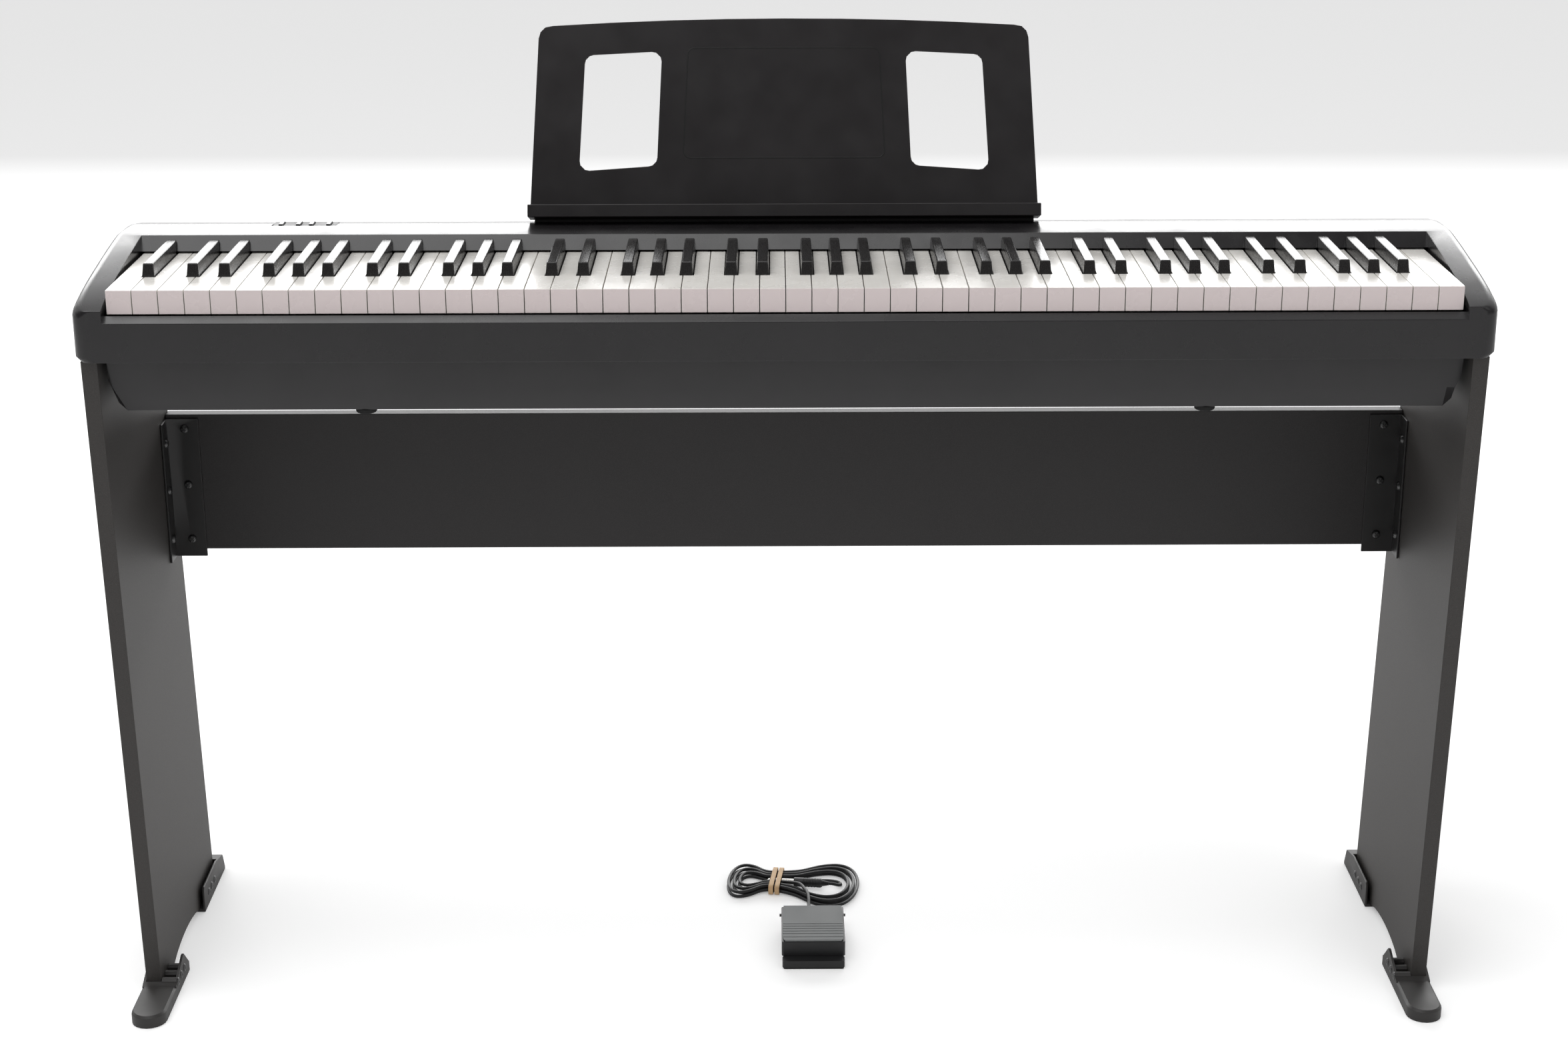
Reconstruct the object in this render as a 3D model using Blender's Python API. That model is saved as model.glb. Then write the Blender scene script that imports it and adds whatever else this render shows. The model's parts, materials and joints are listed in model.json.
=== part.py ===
"""Slab digital piano with 88 keys, music rest, panel stand and a small sustain pedal on its cord.

Metres, +Z up, +X to the player's right, +Y away from the player. The origin is on the floor,
in the middle of the ground that the stand, the case and the pedal cover.
"""

import math

import bmesh
import bpy
import numpy as np
from mathutils import Matrix, Vector

for old in list(bpy.data.objects):
    bpy.data.objects.remove(old, do_unlink=True)

# General fits
FIT = 0.0003                # gap that touching pieces keep
EPS = 0.0005                # how far a cutter runs past the face that it opens

# Case
CASE_WIDTH = 1.284
CASE_DEPTH = 0.258
CASE_TOP_Z = 0.7455
SKIRT_Z = 0.664             # underside of the upper case
CASE_BOTTOM_Z = 0.6106      # underside of the lower case
RAIL_THICK = 0.008          # front rail, front to back
RAIL_FRONT_Z = 0.7005
RAIL_BACK_Z = 0.706
PANEL_THICK = 0.003
REAR_WALL = 0.004
FALL_TOP_D = 0.176          # depth of the fallboard's top edge behind the case front
FALL_FOOT_D = 0.163
FALL_CLEAR = 0.002          # fallboard's foot above the white keys
CREST_D = 0.190             # depth where the cheeks reach full height
CHEEK_DROP = 0.0275
NOSE_DROP = 0.006
CROWN_D = 0.205             # depth where the top starts to fall to the rear
CROWN_DROP = 0.006
REAR_EDGE_R = 0.006
SIDE_ROLL_W = 0.010         # rounded outer edge of the cheeks, across
SIDE_ROLL_H = 0.008         # and down
FRONT_CORNER_R = 0.012
REAR_CORNER_R = 0.015
SKIRT_CHAMFER = 0.0048

# Keys
WHITE_COUNT = 52
WHITE_PITCH = 0.0235
KEY_GAP = 0.0008
KEY_TOP_Z = 0.729
KEY_FRONT_D = 0.0093
KEY_FRONT_H = 0.022
KEY_END_GAP = 0.0025        # from the outermost key to the cheek
BLACK_FRONT_D = 0.064
BLACK_H = 0.012
BLACK_W = 0.0115
BLACK_TOP_W = 0.0093
BLACK_NOSE = 0.003          # slope of a black key's front
BLACK_TAIL_DROP = 0.0105    # underside of a black key below the white tops
FALL_KEY_GAP = 0.0035       # from a black key's back to the fallboard
PIVOT_D = 0.228
PIVOT_Z = 0.710
PIVOT_R = 0.003
SADDLE_GAP = 0.0004
RAIL_TOP_Z = 0.7169         # top of the rail that joins a bank of white keys
WHITE_STEP_D = 0.216        # where the white keys step down to their tails
TAIL_BACK = 0.008           # keys reach this far behind the pivot
OCTAVE_FIRST = 23           # white keys left of the octave whose keys move singly

# Inside the case
CHASSIS_Z = 0.650
CHASSIS_T = 0.002
FELT_T = 0.0023
BOARD_T = 0.0016
SPEAKER_X = 0.400
SPEAKER_D = 0.150
SPEAKER_R = 0.050
SPEAKER_H = 0.030

# Lower case
LOWER_HALF = 0.6175
LOWER_WALL = 0.003
LOWER_FRONT_D = 0.020
LOWER_SEAM_D = 0.024
LOWER_SEAM_Z = 0.631
LOWER_TOE_D = 0.034
LOWER_REAR_D = 0.250
LOWER_HEEL_D = 0.240
END_NOTCH_Z = 0.641
END_SLOPE_Z = 0.618
END_SLOPE_IN = 0.005
END_BOTTOM_IN = 0.0125

# Rubber feet of the case
CASE_FOOT_X = 0.387
CASE_FOOT_FRONT_D = 0.043
CASE_FOOT_REAR_D = 0.215
CASE_FOOT_R = 0.010
CASE_FOOT_H = 0.0045

# Button window in the top panel, at the left
WINDOW_X = -0.4655
WINDOW_W = 0.062
WINDOW_D = 0.225
WINDOW_L = 0.0235
BEZEL_T = 0.0025
BEZEL_SINK = 0.0012
BUTTON_OFFSETS = (-0.0230, -0.0062, 0.0062, 0.0230)
BUTTON_W = 0.0039
BUTTON_L = 0.0165
BUTTON_PROUD = 0.0008
BUTTON_TRAVEL = 0.0010
BUTTON_CLEAR = 0.0004

# Sockets at the rear
JACK_X = -0.500
JACK_W = 0.110
JACK_H = 0.026
JACK_Z = 0.694
JACK_T = 0.003
JACK_BODY = 0.024
JACK_BORES = ((-0.035, 0.0033), (0.0, 0.0033), (0.035, 0.0031))
JACK_BORE_DEEP = 0.020

# Music rest
REST_D = 0.235              # where its front face meets the top panel's level
REST_LEAN = math.radians(17.4)
REST_H = 0.196
REST_CORNER_H = 0.1885
REST_CORNER_R = 0.013
REST_HALF_FOOT = 0.2485
REST_HALF_TOP = 0.2385
REST_T = 0.003
REST_TONGUE = 0.012
TONGUE_HALF = 0.2438
LEDGE_OUT = 0.027
LEDGE_T = 0.003
LIP_H = 0.0125
LIP_T = 0.0025
HOLE_IN_TOP, HOLE_OUT_TOP = 0.1188, 0.1936
HOLE_IN_FOOT, HOLE_OUT_FOOT = 0.1242, 0.2002
HOLE_IN_TOP_U, HOLE_OUT_TOP_U = 0.1642, 0.1604
HOLE_IN_FOOT_U, HOLE_OUT_FOOT_U = 0.0527, 0.0475
HOLE_R = 0.009
SLOT_BLOCK_H = 0.0175       # thick rib under the panel that the slot is cut in
REST_LIFT = 0.030

# Stand
STAND_HALF = 0.638          # to the outer faces of the side panels
BOARD_THICK = 0.015
BOARD_FRONT_TOP_D = 0.0083
BOARD_FRONT_FOOT_D = 0.053
BOARD_REAR_TOP_D = 0.254
BOARD_REAR_FOOT_D = 0.312
BOARD_FOOT_Z = 0.0038
ARCH_Z = 0.0125
CROSS_TOP_Z = 0.5455
CROSS_FOOT_Z = 0.403
CROSS_FRONT_D = 0.2495
BRACKET_T = 0.002
BRACKET_W = 0.031
BRACKET_SIDE_W = 0.0245
BRACKET_TOP_Z = 0.5415
BRACKET_FOOT_Z = 0.396
SCREW_HEAD_R = 0.0042
SCREW_HEAD_H = 0.0022
BRACKET_SCREWS_Z = (0.531, 0.4725, 0.4148)
SIDE_SCREWS_Z = (0.519, 0.470, 0.4186)
BOLT_D = (0.070, 0.190)
BOLT_Z = 0.6525
BOLT_R = 0.0025
BOLT_HOLE_R = 0.0029
BOLT_HEAD_R = 0.0075
BOLT_HEAD_H = 0.0032
BOSS_R = 0.0072
BOLT_REACH = 0.012          # how far a bolt goes into the lower case's end

# Shoes under the side panels
SHOE_BASE_T = 0.0035
SHOE_H = 0.028
SHOE_WALL = 0.0025
SHOE_OUT = 0.641
TOE_REACH = 0.017           # front shoes ahead of the case front
TOE_H = 0.0125
TOE_HALF_W = 0.017
TOE_BACK_D = 0.045
FRONT_SHOE_REAR_D = 0.105
FRONT_SHOE_TIP_D = 0.086
FRONT_SHOE_IN = 0.607
REAR_SHOE_FRONT_D = 0.234
REAR_SHOE_REAR_D = 0.341
REAR_SHOE_TIP_D = 0.333
REAR_SHOE_TIP_Z = 0.0206
REAR_SHOE_IN = 0.617
SHOE_SCREW_Z = 0.0135
SHOE_SCREW_STEP = 0.0148
SHOE_SCREW_R = 0.0040
SHOE_SCREW_H = 0.0008

# Sustain pedal
PEDAL_X = 0.0275
PEDAL_FRONT_D = 0.099
PEDAL_REAR_D = 0.192
PEDAL_HALF = 0.0324         # half width of the treadle
PEDAL_WALL = 0.002
PEDAL_TOP_Z = 0.0245
SKIRT_D = 0.1115            # front of the treadle's skirt
SKIRT_FOOT_Z = 0.0085
SOLE_T = 0.0015
TRAY_T = 0.0015
TRAY_HALF = 0.0300
TRAY_LIP_HALF = 0.0317
TRAY_LIP_Z = 0.0092
TRAY_WALL_Z = 0.0090
PIN_D = 0.186
PIN_Z = 0.0175
PIN_R = 0.0016
PIN_PROUD = 0.0020
PAD_T = 0.0016
PAD_INSET = 0.0010
SPRING_D = 0.135
SPRING_R = 0.005
GLAND_R = 0.0042
GLAND_L = 0.012
GLAND_Z = 0.0085
GLAND_X = 0.0244

# Cord of the pedal
CORD_D = 0.0035
CORD_FLOOR = 0.0019         # height of the centre line on the floor
WAIST_X = -0.0098
WAIST_D = 0.291
HANK_TURN = math.radians(-7.0)
HANK_LOOPS = 2.5            # turns in each of the two layers
HANK_POINTS = 24            # points for each turn
LAYER_STEP = 0.0042
WAIST_GAP = 0.0056          # from the middle to the innermost strand at the waist
WAIST_STEP = 0.0050
LOBE_STEP = 0.0058
BULGE_STEP = 0.0145
WAIST_LIFT = 0.0017
RIGHT_REACH = 0.0880
LEFT_REACH = 0.0530
RIGHT_BULGE = 0.094
LEFT_BULGE = 0.072
NECK = 0.009                # half length of the straight waist
BAND_W = 0.005
BAND_T = 0.0011
BAND_PITCH = 0.0066
BAND_SIDES = 28
PLUG_R = 0.0050
PLUG_L = 0.031
SHANK_R = 0.0031
SHANK_L = 0.029
PLUG_TAIL_L = 0.007

# Derived places
FRONT_Y = -(REAR_SHOE_REAR_D - TOE_REACH) / 2
HALF = CASE_WIDTH / 2
KEYS_HALF = WHITE_COUNT * WHITE_PITCH / 2
POCKET_HALF = KEYS_HALF + KEY_END_GAP
FALL_FOOT_Z = KEY_TOP_Z + FALL_CLEAR
BOARD_IN = STAND_HALF - BOARD_THICK
KEY_FOOT_Z = KEY_TOP_Z - KEY_FRONT_H
BLACK_FOOT_Z = KEY_TOP_Z - BLACK_TAIL_DROP


def y_at(depth):
    """World Y of a depth behind the case's front."""
    return FRONT_Y + depth


def finish_material(name, colour, roughness, metallic=0.0):
    mat = bpy.data.materials.new(name)
    mat.use_nodes = True
    shader = mat.node_tree.nodes["Principled BSDF"]
    shader.inputs["Base Color"].default_value = (*colour, 1.0)
    shader.inputs["Roughness"].default_value = roughness
    shader.inputs["Metallic"].default_value = metallic
    return mat


def add(name, bm, colour, roughness, metallic=0.0, origin=None, smooth=False):
    """Make one named piece. Its origin goes to the joint's axis where it has one."""
    bmesh.ops.recalc_face_normals(bm, faces=bm.faces[:])
    if origin is not None:
        bmesh.ops.translate(bm, verts=bm.verts[:], vec=-Vector(origin))
    mesh = bpy.data.meshes.new(name)
    bm.to_mesh(mesh)
    bm.free()
    if smooth:
        mesh.shade_smooth()
        mesh.set_sharp_from_angle(angle=math.radians(35))
    ob = bpy.data.objects.new(name, mesh)
    bpy.context.scene.collection.objects.link(ob)
    if origin is not None:
        ob.location = origin
    mesh.materials.append(finish_material(name + "_finish", colour, roughness, metallic))
    return ob


def skin(sections):
    """Closed body through sections of equal point count, capped at both ends."""
    bm = bmesh.new()
    rings = [[bm.verts.new(p) for p in ring] for ring in sections]
    count = len(rings[0])
    for a, b in zip(rings, rings[1:]):
        for i in range(count):
            j = (i + 1) % count
            bm.faces.new((a[i], a[j], b[j], b[i]))
    bm.faces.new(rings[0][::-1])
    bm.faces.new(rings[-1])
    bmesh.ops.recalc_face_normals(bm, faces=bm.faces[:])
    return bm


def prism_x(outline, x0, x1):
    """Outline of (depth, z) points, drawn along X."""
    return skin([[(x, y_at(d), z) for d, z in outline] for x in (x0, x1)])


def prism_y(outline, d0, d1):
    """Outline of (x, z) points, drawn along Y."""
    return skin([[(x, y_at(d), z) for x, z in outline] for d in (d0, d1)])


def prism_z(outline, z0, z1):
    """Outline of (x, depth) points, drawn along Z."""
    return skin([[(x, y_at(d), z) for x, d in outline] for z in (z0, z1)])


def block(x0, x1, d0, d1, z0, z1):
    return prism_z([(x0, d0), (x1, d0), (x1, d1), (x0, d1)], z0, z1)


def rod(centre, axis, radius, length, sides, end_radius=None):
    """Round bar from centre along axis; end_radius tapers it."""
    far = radius if end_radius is None else end_radius
    side_a = Vector(axis).orthogonal().normalized()
    side_b = Vector(axis).normalized().cross(side_a)
    rings = []
    for step, r in ((0.0, radius), (length, far)):
        mid = Vector(centre) + Vector(axis).normalized() * step
        rings.append([mid + r * (math.cos(t) * side_a + math.sin(t) * side_b)
                      for t in (2 * math.pi * (i + 0.5) / sides for i in range(sides))])
    return skin(rings)


def turned(centre, axis, profile, sides):
    """Body of revolution through (step, radius) pairs along an axis."""
    side_a = Vector(axis).orthogonal().normalized()
    side_b = Vector(axis).normalized().cross(side_a)
    rings = []
    for step, r in profile:
        mid = Vector(centre) + Vector(axis).normalized() * step
        rings.append([mid + r * (math.cos(t) * side_a + math.sin(t) * side_b)
                      for t in (2 * math.pi * (i + 0.5) / sides for i in range(sides))])
    return skin(rings)


def combine(base, others, operation):
    """Boolean of solids held in bmeshes: DIFFERENCE or UNION, one after the other."""
    bmesh.ops.recalc_face_normals(base, faces=base.faces[:])
    mesh = bpy.data.meshes.new("work")
    base.to_mesh(mesh)
    base.free()
    work = bpy.data.objects.new("work", mesh)
    scene = bpy.context.scene.collection.objects
    scene.link(work)
    guides = []
    for number, other in enumerate(others):
        bmesh.ops.recalc_face_normals(other, faces=other.faces[:])
        guide_mesh = bpy.data.meshes.new("guide")
        other.to_mesh(guide_mesh)
        other.free()
        guide = bpy.data.objects.new("guide", guide_mesh)
        guide.hide_render = True
        guide.display_type = 'WIRE'
        scene.link(guide)
        guides.append(guide)
        step = work.modifiers.new("step_%d" % number, 'BOOLEAN')
        step.operation = operation
        step.solver = 'EXACT'
        step.object = guide
    bpy.context.view_layer.update()
    shaped = work.evaluated_get(bpy.context.evaluated_depsgraph_get())
    result = bmesh.new()
    result.from_mesh(shaped.to_mesh())
    shaped.to_mesh_clear()
    for ob in [work] + guides:
        bpy.data.objects.remove(ob, do_unlink=True)
    bmesh.ops.dissolve_limit(result, angle_limit=0.0005, verts=result.verts[:],
                             edges=result.edges[:])
    return result


def cut(base, *others):
    return combine(base, others, 'DIFFERENCE')


def fuse(base, *others):
    return combine(base, others, 'UNION')


def mirror_x(bm):
    """The same piece for the other side."""
    bmesh.ops.transform(bm, matrix=Matrix.Scale(-1, 4, (1, 0, 0)), verts=bm.verts[:])
    bmesh.ops.reverse_faces(bm, faces=bm.faces[:])
    return bm


def arc(cx, cy, radius, start, end, steps):
    """Points of an arc; angles in degrees."""
    return [(cx + radius * math.cos(math.radians(start + (end - start) * i / steps)),
             cy + radius * math.sin(math.radians(start + (end - start) * i / steps)))
            for i in range(steps + 1)]


def round_quad(corners, radius, steps=3):
    """Quadrilateral with rounded corners, from four corners in order."""
    points = []
    for i in range(4):
        here = Vector(corners[i])
        before = (Vector(corners[i - 1]) - here).normalized()
        after = (Vector(corners[(i + 1) % 4]) - here).normalized()
        half = before.angle(after) / 2
        reach = radius / math.tan(half)
        centre = here + (before + after).normalized() * (radius / math.sin(half))
        a = here + before * reach - centre
        b = here + after * reach - centre
        for k in range(steps + 1):
            share = k / steps
            spoke = (a * (1 - share) + b * share).normalized() * radius
            points.append(tuple(centre + spoke))
    return points


# Upper case: both cheeks, front rail, fallboard, top panel and rear wall in one moulding
def case_drop(depth):
    """How far the top surface lies below the case's highest level."""
    drop = 0.0
    if depth < CREST_D:
        u = 1 - depth / CREST_D
        drop += CHEEK_DROP * u ** 1.2 + NOSE_DROP * u ** 8
    if depth > CROWN_D:
        v = (depth - CROWN_D) / (CASE_DEPTH - CROWN_D)
        drop += CROWN_DROP * v * v
    lap = depth - (CASE_DEPTH - REAR_EDGE_R)
    if lap > 0:
        drop += REAR_EDGE_R - math.sqrt(max(REAR_EDGE_R ** 2 - lap ** 2, 0.0))
    return drop


def case_half(depth):
    """Half width of the case at a depth, with its rounded corners."""
    half = HALF
    if depth < FRONT_CORNER_R:
        half -= FRONT_CORNER_R - math.sqrt(FRONT_CORNER_R ** 2 - (FRONT_CORNER_R - depth) ** 2)
    lap = depth - (CASE_DEPTH - REAR_CORNER_R)
    if lap > 0:
        half -= REAR_CORNER_R - math.sqrt(max(REAR_CORNER_R ** 2 - lap ** 2, 0.0))
    return half


def case_section(depth):
    top = CASE_TOP_Z - case_drop(depth)
    half = case_half(depth)
    right = [(half - SKIRT_CHAMFER, SKIRT_Z), (half, SKIRT_Z + SKIRT_CHAMFER)]
    right += [(half - SIDE_ROLL_W * (1 - math.cos(math.radians(a))),
               top - SIDE_ROLL_H * (1 - math.sin(math.radians(a)))) for a in (0, 30, 60, 90)]
    left = [(-x, z) for x, z in reversed(right)]
    return [(x, y_at(depth), z) for x, z in right + left]


front_depths = [FRONT_CORNER_R * (1 - math.cos(math.radians(a))) for a in (0, 22, 45, 68, 90)]
slope_depths = [CREST_D * share for share in (0.115, 0.21, 0.32, 0.45, 0.6, 0.76)]
crown_depths = [CROWN_D + (CASE_DEPTH - REAR_CORNER_R - CROWN_D) * share for share in (0, 0.4, 0.75, 1)]
rear_depths = [CASE_DEPTH - REAR_CORNER_R * (1 - math.sin(math.radians(a))) for a in (30, 50, 68, 90)]
case_depths = front_depths + slope_depths + [FALL_TOP_D, CREST_D] + crown_depths + rear_depths
outer = skin([case_section(d) for d in case_depths])

fall_slope = (FALL_TOP_D - FALL_FOOT_D) / (CASE_TOP_Z - FALL_FOOT_Z)
sky = CASE_TOP_Z + 0.015
panel_under = CASE_TOP_Z - PANEL_THICK
slot_front_d = REST_D - 0.014
slot_under = CASE_TOP_Z - SLOT_BLOCK_H
rear_in = CASE_DEPTH - REAR_WALL
cavity_outline = [
    (RAIL_THICK, SKIRT_Z - EPS), (RAIL_THICK, RAIL_BACK_Z),
    (-EPS, RAIL_FRONT_Z - EPS * (RAIL_BACK_Z - RAIL_FRONT_Z) / RAIL_THICK), (-EPS, sky),
    (FALL_FOOT_D + fall_slope * (sky - FALL_FOOT_Z), sky), (FALL_FOOT_D, FALL_FOOT_Z),
    (FALL_FOOT_D + PANEL_THICK, FALL_FOOT_Z),
    (FALL_TOP_D + PANEL_THICK * 1.2, panel_under), (CROWN_D, panel_under),
    (rear_in - REAR_EDGE_R, panel_under - CROWN_DROP),
    (rear_in, panel_under - CROWN_DROP - REAR_EDGE_R), (rear_in, SKIRT_Z - EPS)]
shell = cut(outer, prism_x(cavity_outline, -POCKET_HALF, POCKET_HALF))

slot_half = TONGUE_HALF + 0.0007
slot_rib = block(-slot_half - 0.012, slot_half + 0.012, slot_front_d, rear_in + EPS, slot_under,
                 panel_under + EPS - CROWN_DROP)
board_top = CASE_TOP_Z - BEZEL_SINK - BEZEL_T - 0.0075
bosses = [block(WINDOW_X + s * 0.045 - 0.003, WINDOW_X + s * 0.045 + 0.003, WINDOW_D - 0.035,
                WINDOW_D - 0.029, board_top + FIT, panel_under + EPS) for s in (-1, 1)]


def rest_point(x, u, v):
    """Point of the music rest: u up its leaning face, v out of that face to the player."""
    return (x, y_at(REST_D) + u * math.sin(REST_LEAN) - v * math.cos(REST_LEAN),
            CASE_TOP_Z + u * math.cos(REST_LEAN) + v * math.sin(REST_LEAN))


def rest_prism(outline, v0, v1):
    return skin([[rest_point(x, u, v) for x, u in outline] for v in (v0, v1)])


def rest_bar(outline, x0, x1):
    """Outline of (u, v) points of the rest, drawn along X."""
    return skin([[rest_point(x, u, v) for u, v in outline] for x in (x0, x1)])


rest_slot = rest_bar([(-REST_TONGUE - FIT, FIT), (0.012, FIT), (0.012, -REST_T - FIT),
                      (-REST_TONGUE - FIT, -REST_T - FIT)], -slot_half, slot_half)
window_w = WINDOW_W + 2 * FIT
window_l = WINDOW_L + 2 * FIT
window = block(WINDOW_X - window_w / 2, WINDOW_X + window_w / 2, WINDOW_D - window_l / 2,
               WINDOW_D + window_l / 2, slot_under - EPS, CASE_TOP_Z + 0.003)
jack_window = prism_y([(JACK_X + sx * (JACK_W / 2 + FIT), JACK_Z + sz * (JACK_H / 2 + FIT))
                       for sx, sz in ((-1, -1), (1, -1), (1, 1), (-1, 1))],
                      rear_in - 0.002, CASE_DEPTH + EPS)
shell = fuse(shell, slot_rib, *bosses)
shell = cut(shell, rest_slot, window, jack_window)
add("upper_case", shell, (0.012, 0.011, 0.012), 0.45)


# Lower case: a tray under the keybed, open at the top, with ribs, bosses and speaker slots
def lower_section(x, inset_wall):
    """(depth, z) outline of the tray at a station along X, walls inset by a thickness."""
    out = LOWER_HALF - abs(x)
    if out < END_SLOPE_IN:
        low = END_NOTCH_Z + (END_SLOPE_Z - END_NOTCH_Z) * out / END_SLOPE_IN
    elif out < END_BOTTOM_IN:
        share = (out - END_SLOPE_IN) / (END_BOTTOM_IN - END_SLOPE_IN)
        low = END_SLOPE_Z + (CASE_BOTTOM_Z - END_SLOPE_Z) * share
    else:
        low = CASE_BOTTOM_Z
    w = inset_wall
    top = SKIRT_Z - FIT if w == 0 else SKIRT_Z + EPS
    seam = max(LOWER_SEAM_Z, low)
    heel = max(END_SLOPE_Z, low)
    return [(x, y_at(d), z) for d, z in (
        (LOWER_FRONT_D + w, top), (LOWER_SEAM_D + w, seam + w), (LOWER_TOE_D + w, low + w),
        (LOWER_HEEL_D - w, low + w), (LOWER_REAR_D - 0.002 - w, heel + w), (LOWER_REAR_D - w, top))]


def lower_body(inset_wall):
    stations = [LOWER_HALF - inset_wall, LOWER_HALF - max(END_SLOPE_IN, inset_wall * 1.5),
                LOWER_HALF - END_BOTTOM_IN]
    xs = [-x for x in stations] + stations[::-1]
    return skin([lower_section(x, inset_wall) for x in xs])


tray = cut(lower_body(0.0), lower_body(LOWER_WALL))
rib_top = CHASSIS_Z - FIT
extras = []
for rib_x in (-0.54, -0.19, 0.19, 0.54):
    extras.append(block(rib_x - 0.0015, rib_x + 0.0015, LOWER_TOE_D + 0.008, LOWER_HEEL_D - 0.006,
                        CASE_BOTTOM_Z + LOWER_WALL - EPS, rib_top))
for side in (-1, 1):
    for bolt_d in BOLT_D:
        extras.append(rod((side * (LOWER_HALF - BOLT_REACH), y_at(bolt_d), BOLT_Z), (side, 0, 0),
                          BOSS_R, BOARD_IN - FIT - LOWER_HALF + BOLT_REACH, 12))
tray = fuse(tray, *extras)
holes = []
for side in (-1, 1):
    for bolt_d in BOLT_D:
        holes.append(rod((side * (LOWER_HALF - BOLT_REACH - EPS), y_at(bolt_d), BOLT_Z),
                         (side, 0, 0), BOLT_HOLE_R, BOARD_IN - LOWER_HALF + BOLT_REACH + 0.002, 10))
    for slot in range(-2, 3):
        slot_x = side * SPEAKER_X + slot * 0.014
        holes.append(block(slot_x - 0.0015, slot_x + 0.0015, SPEAKER_D - 0.036, SPEAKER_D + 0.036,
                           CASE_BOTTOM_Z - EPS, CASE_BOTTOM_Z + LOWER_WALL + EPS))
tray = cut(tray, *holes)
add("lower_case", tray, (0.010, 0.010, 0.010), 0.5)

for number, (fx, fd) in enumerate(((-1, CASE_FOOT_FRONT_D), (1, CASE_FOOT_FRONT_D),
                                   (-1, CASE_FOOT_REAR_D), (1, CASE_FOOT_REAR_D))):
    name = "case_foot_" + ("front", "rear")[number // 2] + ("_left", "_right")[number % 2]
    add(name, turned((fx * CASE_FOOT_X, y_at(fd), CASE_BOTTOM_Z - FIT), (0, 0, -1),
                     ((0, CASE_FOOT_R), (CASE_FOOT_H - 0.001, CASE_FOOT_R * 0.95),
                      (CASE_FOOT_H, CASE_FOOT_R * 0.8)), 14), (0.02, 0.02, 0.02), 0.8, smooth=True)

# Key chassis: one long profile with the felt shelf in front and the pivot bead behind
chassis_front = 0.0140
chassis_wall = LOWER_SEAM_D + LOWER_WALL + 0.0012
chassis_rear = PIVOT_D + 0.013
felt_top = KEY_FOOT_Z - 0.0104
shelf_top = felt_top - FELT_T - FIT
web = CHASSIS_T / 2
bead = [(PIVOT_D + PIVOT_R * math.cos(math.radians(a)), PIVOT_Z + PIVOT_R * math.sin(math.radians(a)))
        for a in range(-54, 235, 36)]
chassis_outline = [
    (chassis_wall, CHASSIS_Z), (chassis_rear, CHASSIS_Z), (chassis_rear, CHASSIS_Z + CHASSIS_T),
    (PIVOT_D + web, CHASSIS_Z + CHASSIS_T)] + bead + [
    (PIVOT_D - web, CHASSIS_Z + CHASSIS_T),
    (chassis_wall + CHASSIS_T, CHASSIS_Z + CHASSIS_T),
    (chassis_wall + CHASSIS_T, shelf_top - CHASSIS_T), (chassis_front + 0.030, shelf_top - CHASSIS_T),
    (chassis_front + 0.030, shelf_top), (chassis_front, shelf_top),
    (chassis_front, shelf_top - CHASSIS_T), (chassis_wall, shelf_top - CHASSIS_T)]
chassis_half = POCKET_HALF - 0.010
add("key_chassis", prism_x(chassis_outline, -chassis_half, chassis_half), (0.55, 0.56, 0.57), 0.35, 1.0)
add("key_felt", block(-chassis_half, chassis_half, chassis_front + 0.002, chassis_front + 0.029,
                      shelf_top + FIT, felt_top), (0.35, 0.02, 0.02), 0.95)

# Main board under the button window, and two speakers over the slots of the tray
add("main_board", block(WINDOW_X - 0.075, WINDOW_X + 0.155, WINDOW_D - 0.045, rear_in - 0.006,
                        board_top - BOARD_T, board_top), (0.02, 0.12, 0.04), 0.5)
for side, label in ((-1, "left"), (1, "right")):
    rim_z = CASE_BOTTOM_Z + LOWER_WALL + FIT
    add("speaker_" + label,
        turned((side * SPEAKER_X, y_at(SPEAKER_D), rim_z), (0, 0, 1),
               ((0, SPEAKER_R), (0.003, SPEAKER_R), (0.0035, SPEAKER_R * 0.86),
                (SPEAKER_H * 0.55, SPEAKER_R * 0.5), (SPEAKER_H * 0.6, SPEAKER_R * 0.62),
                (SPEAKER_H, SPEAKER_R * 0.6)), 18), (0.05, 0.05, 0.05), 0.6, smooth=True)

# Button window plate with four buttons
bezel_top = CASE_TOP_Z - BEZEL_SINK
bezel = block(WINDOW_X - WINDOW_W / 2, WINDOW_X + WINDOW_W / 2, WINDOW_D - WINDOW_L / 2,
              WINDOW_D + WINDOW_L / 2, bezel_top - BEZEL_T, bezel_top)
bezel = cut(bezel, *[block(WINDOW_X + dx - BUTTON_W / 2 - BUTTON_CLEAR, WINDOW_X + dx + BUTTON_W / 2
                           + BUTTON_CLEAR, WINDOW_D - BUTTON_L / 2 - BUTTON_CLEAR,
                           WINDOW_D + BUTTON_L / 2 + BUTTON_CLEAR, bezel_top - BEZEL_T - EPS,
                           bezel_top + EPS) for dx in BUTTON_OFFSETS])
add("button_plate", bezel, (0.01, 0.01, 0.012), 0.25)
button_top = CASE_TOP_Z + BUTTON_PROUD
button_foot = board_top + BUTTON_TRAVEL + 0.0015
for number, dx in enumerate(BUTTON_OFFSETS):
    bx = WINDOW_X + dx
    steps = ((button_foot, 0.0), (button_top - 0.0005, 0.0), (button_top, 0.0005))
    add("button_%d" % (number + 1),
        skin([[(bx + sx * (BUTTON_W / 2 - inset), y_at(WINDOW_D) + sy * (BUTTON_L / 2 - inset), z)
               for sx, sy in ((-1, -1), (1, -1), (1, 1), (-1, 1))] for z, inset in steps]),
        (0.5, 0.5, 0.52), 0.2, origin=(bx, y_at(WINDOW_D), button_top))

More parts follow.
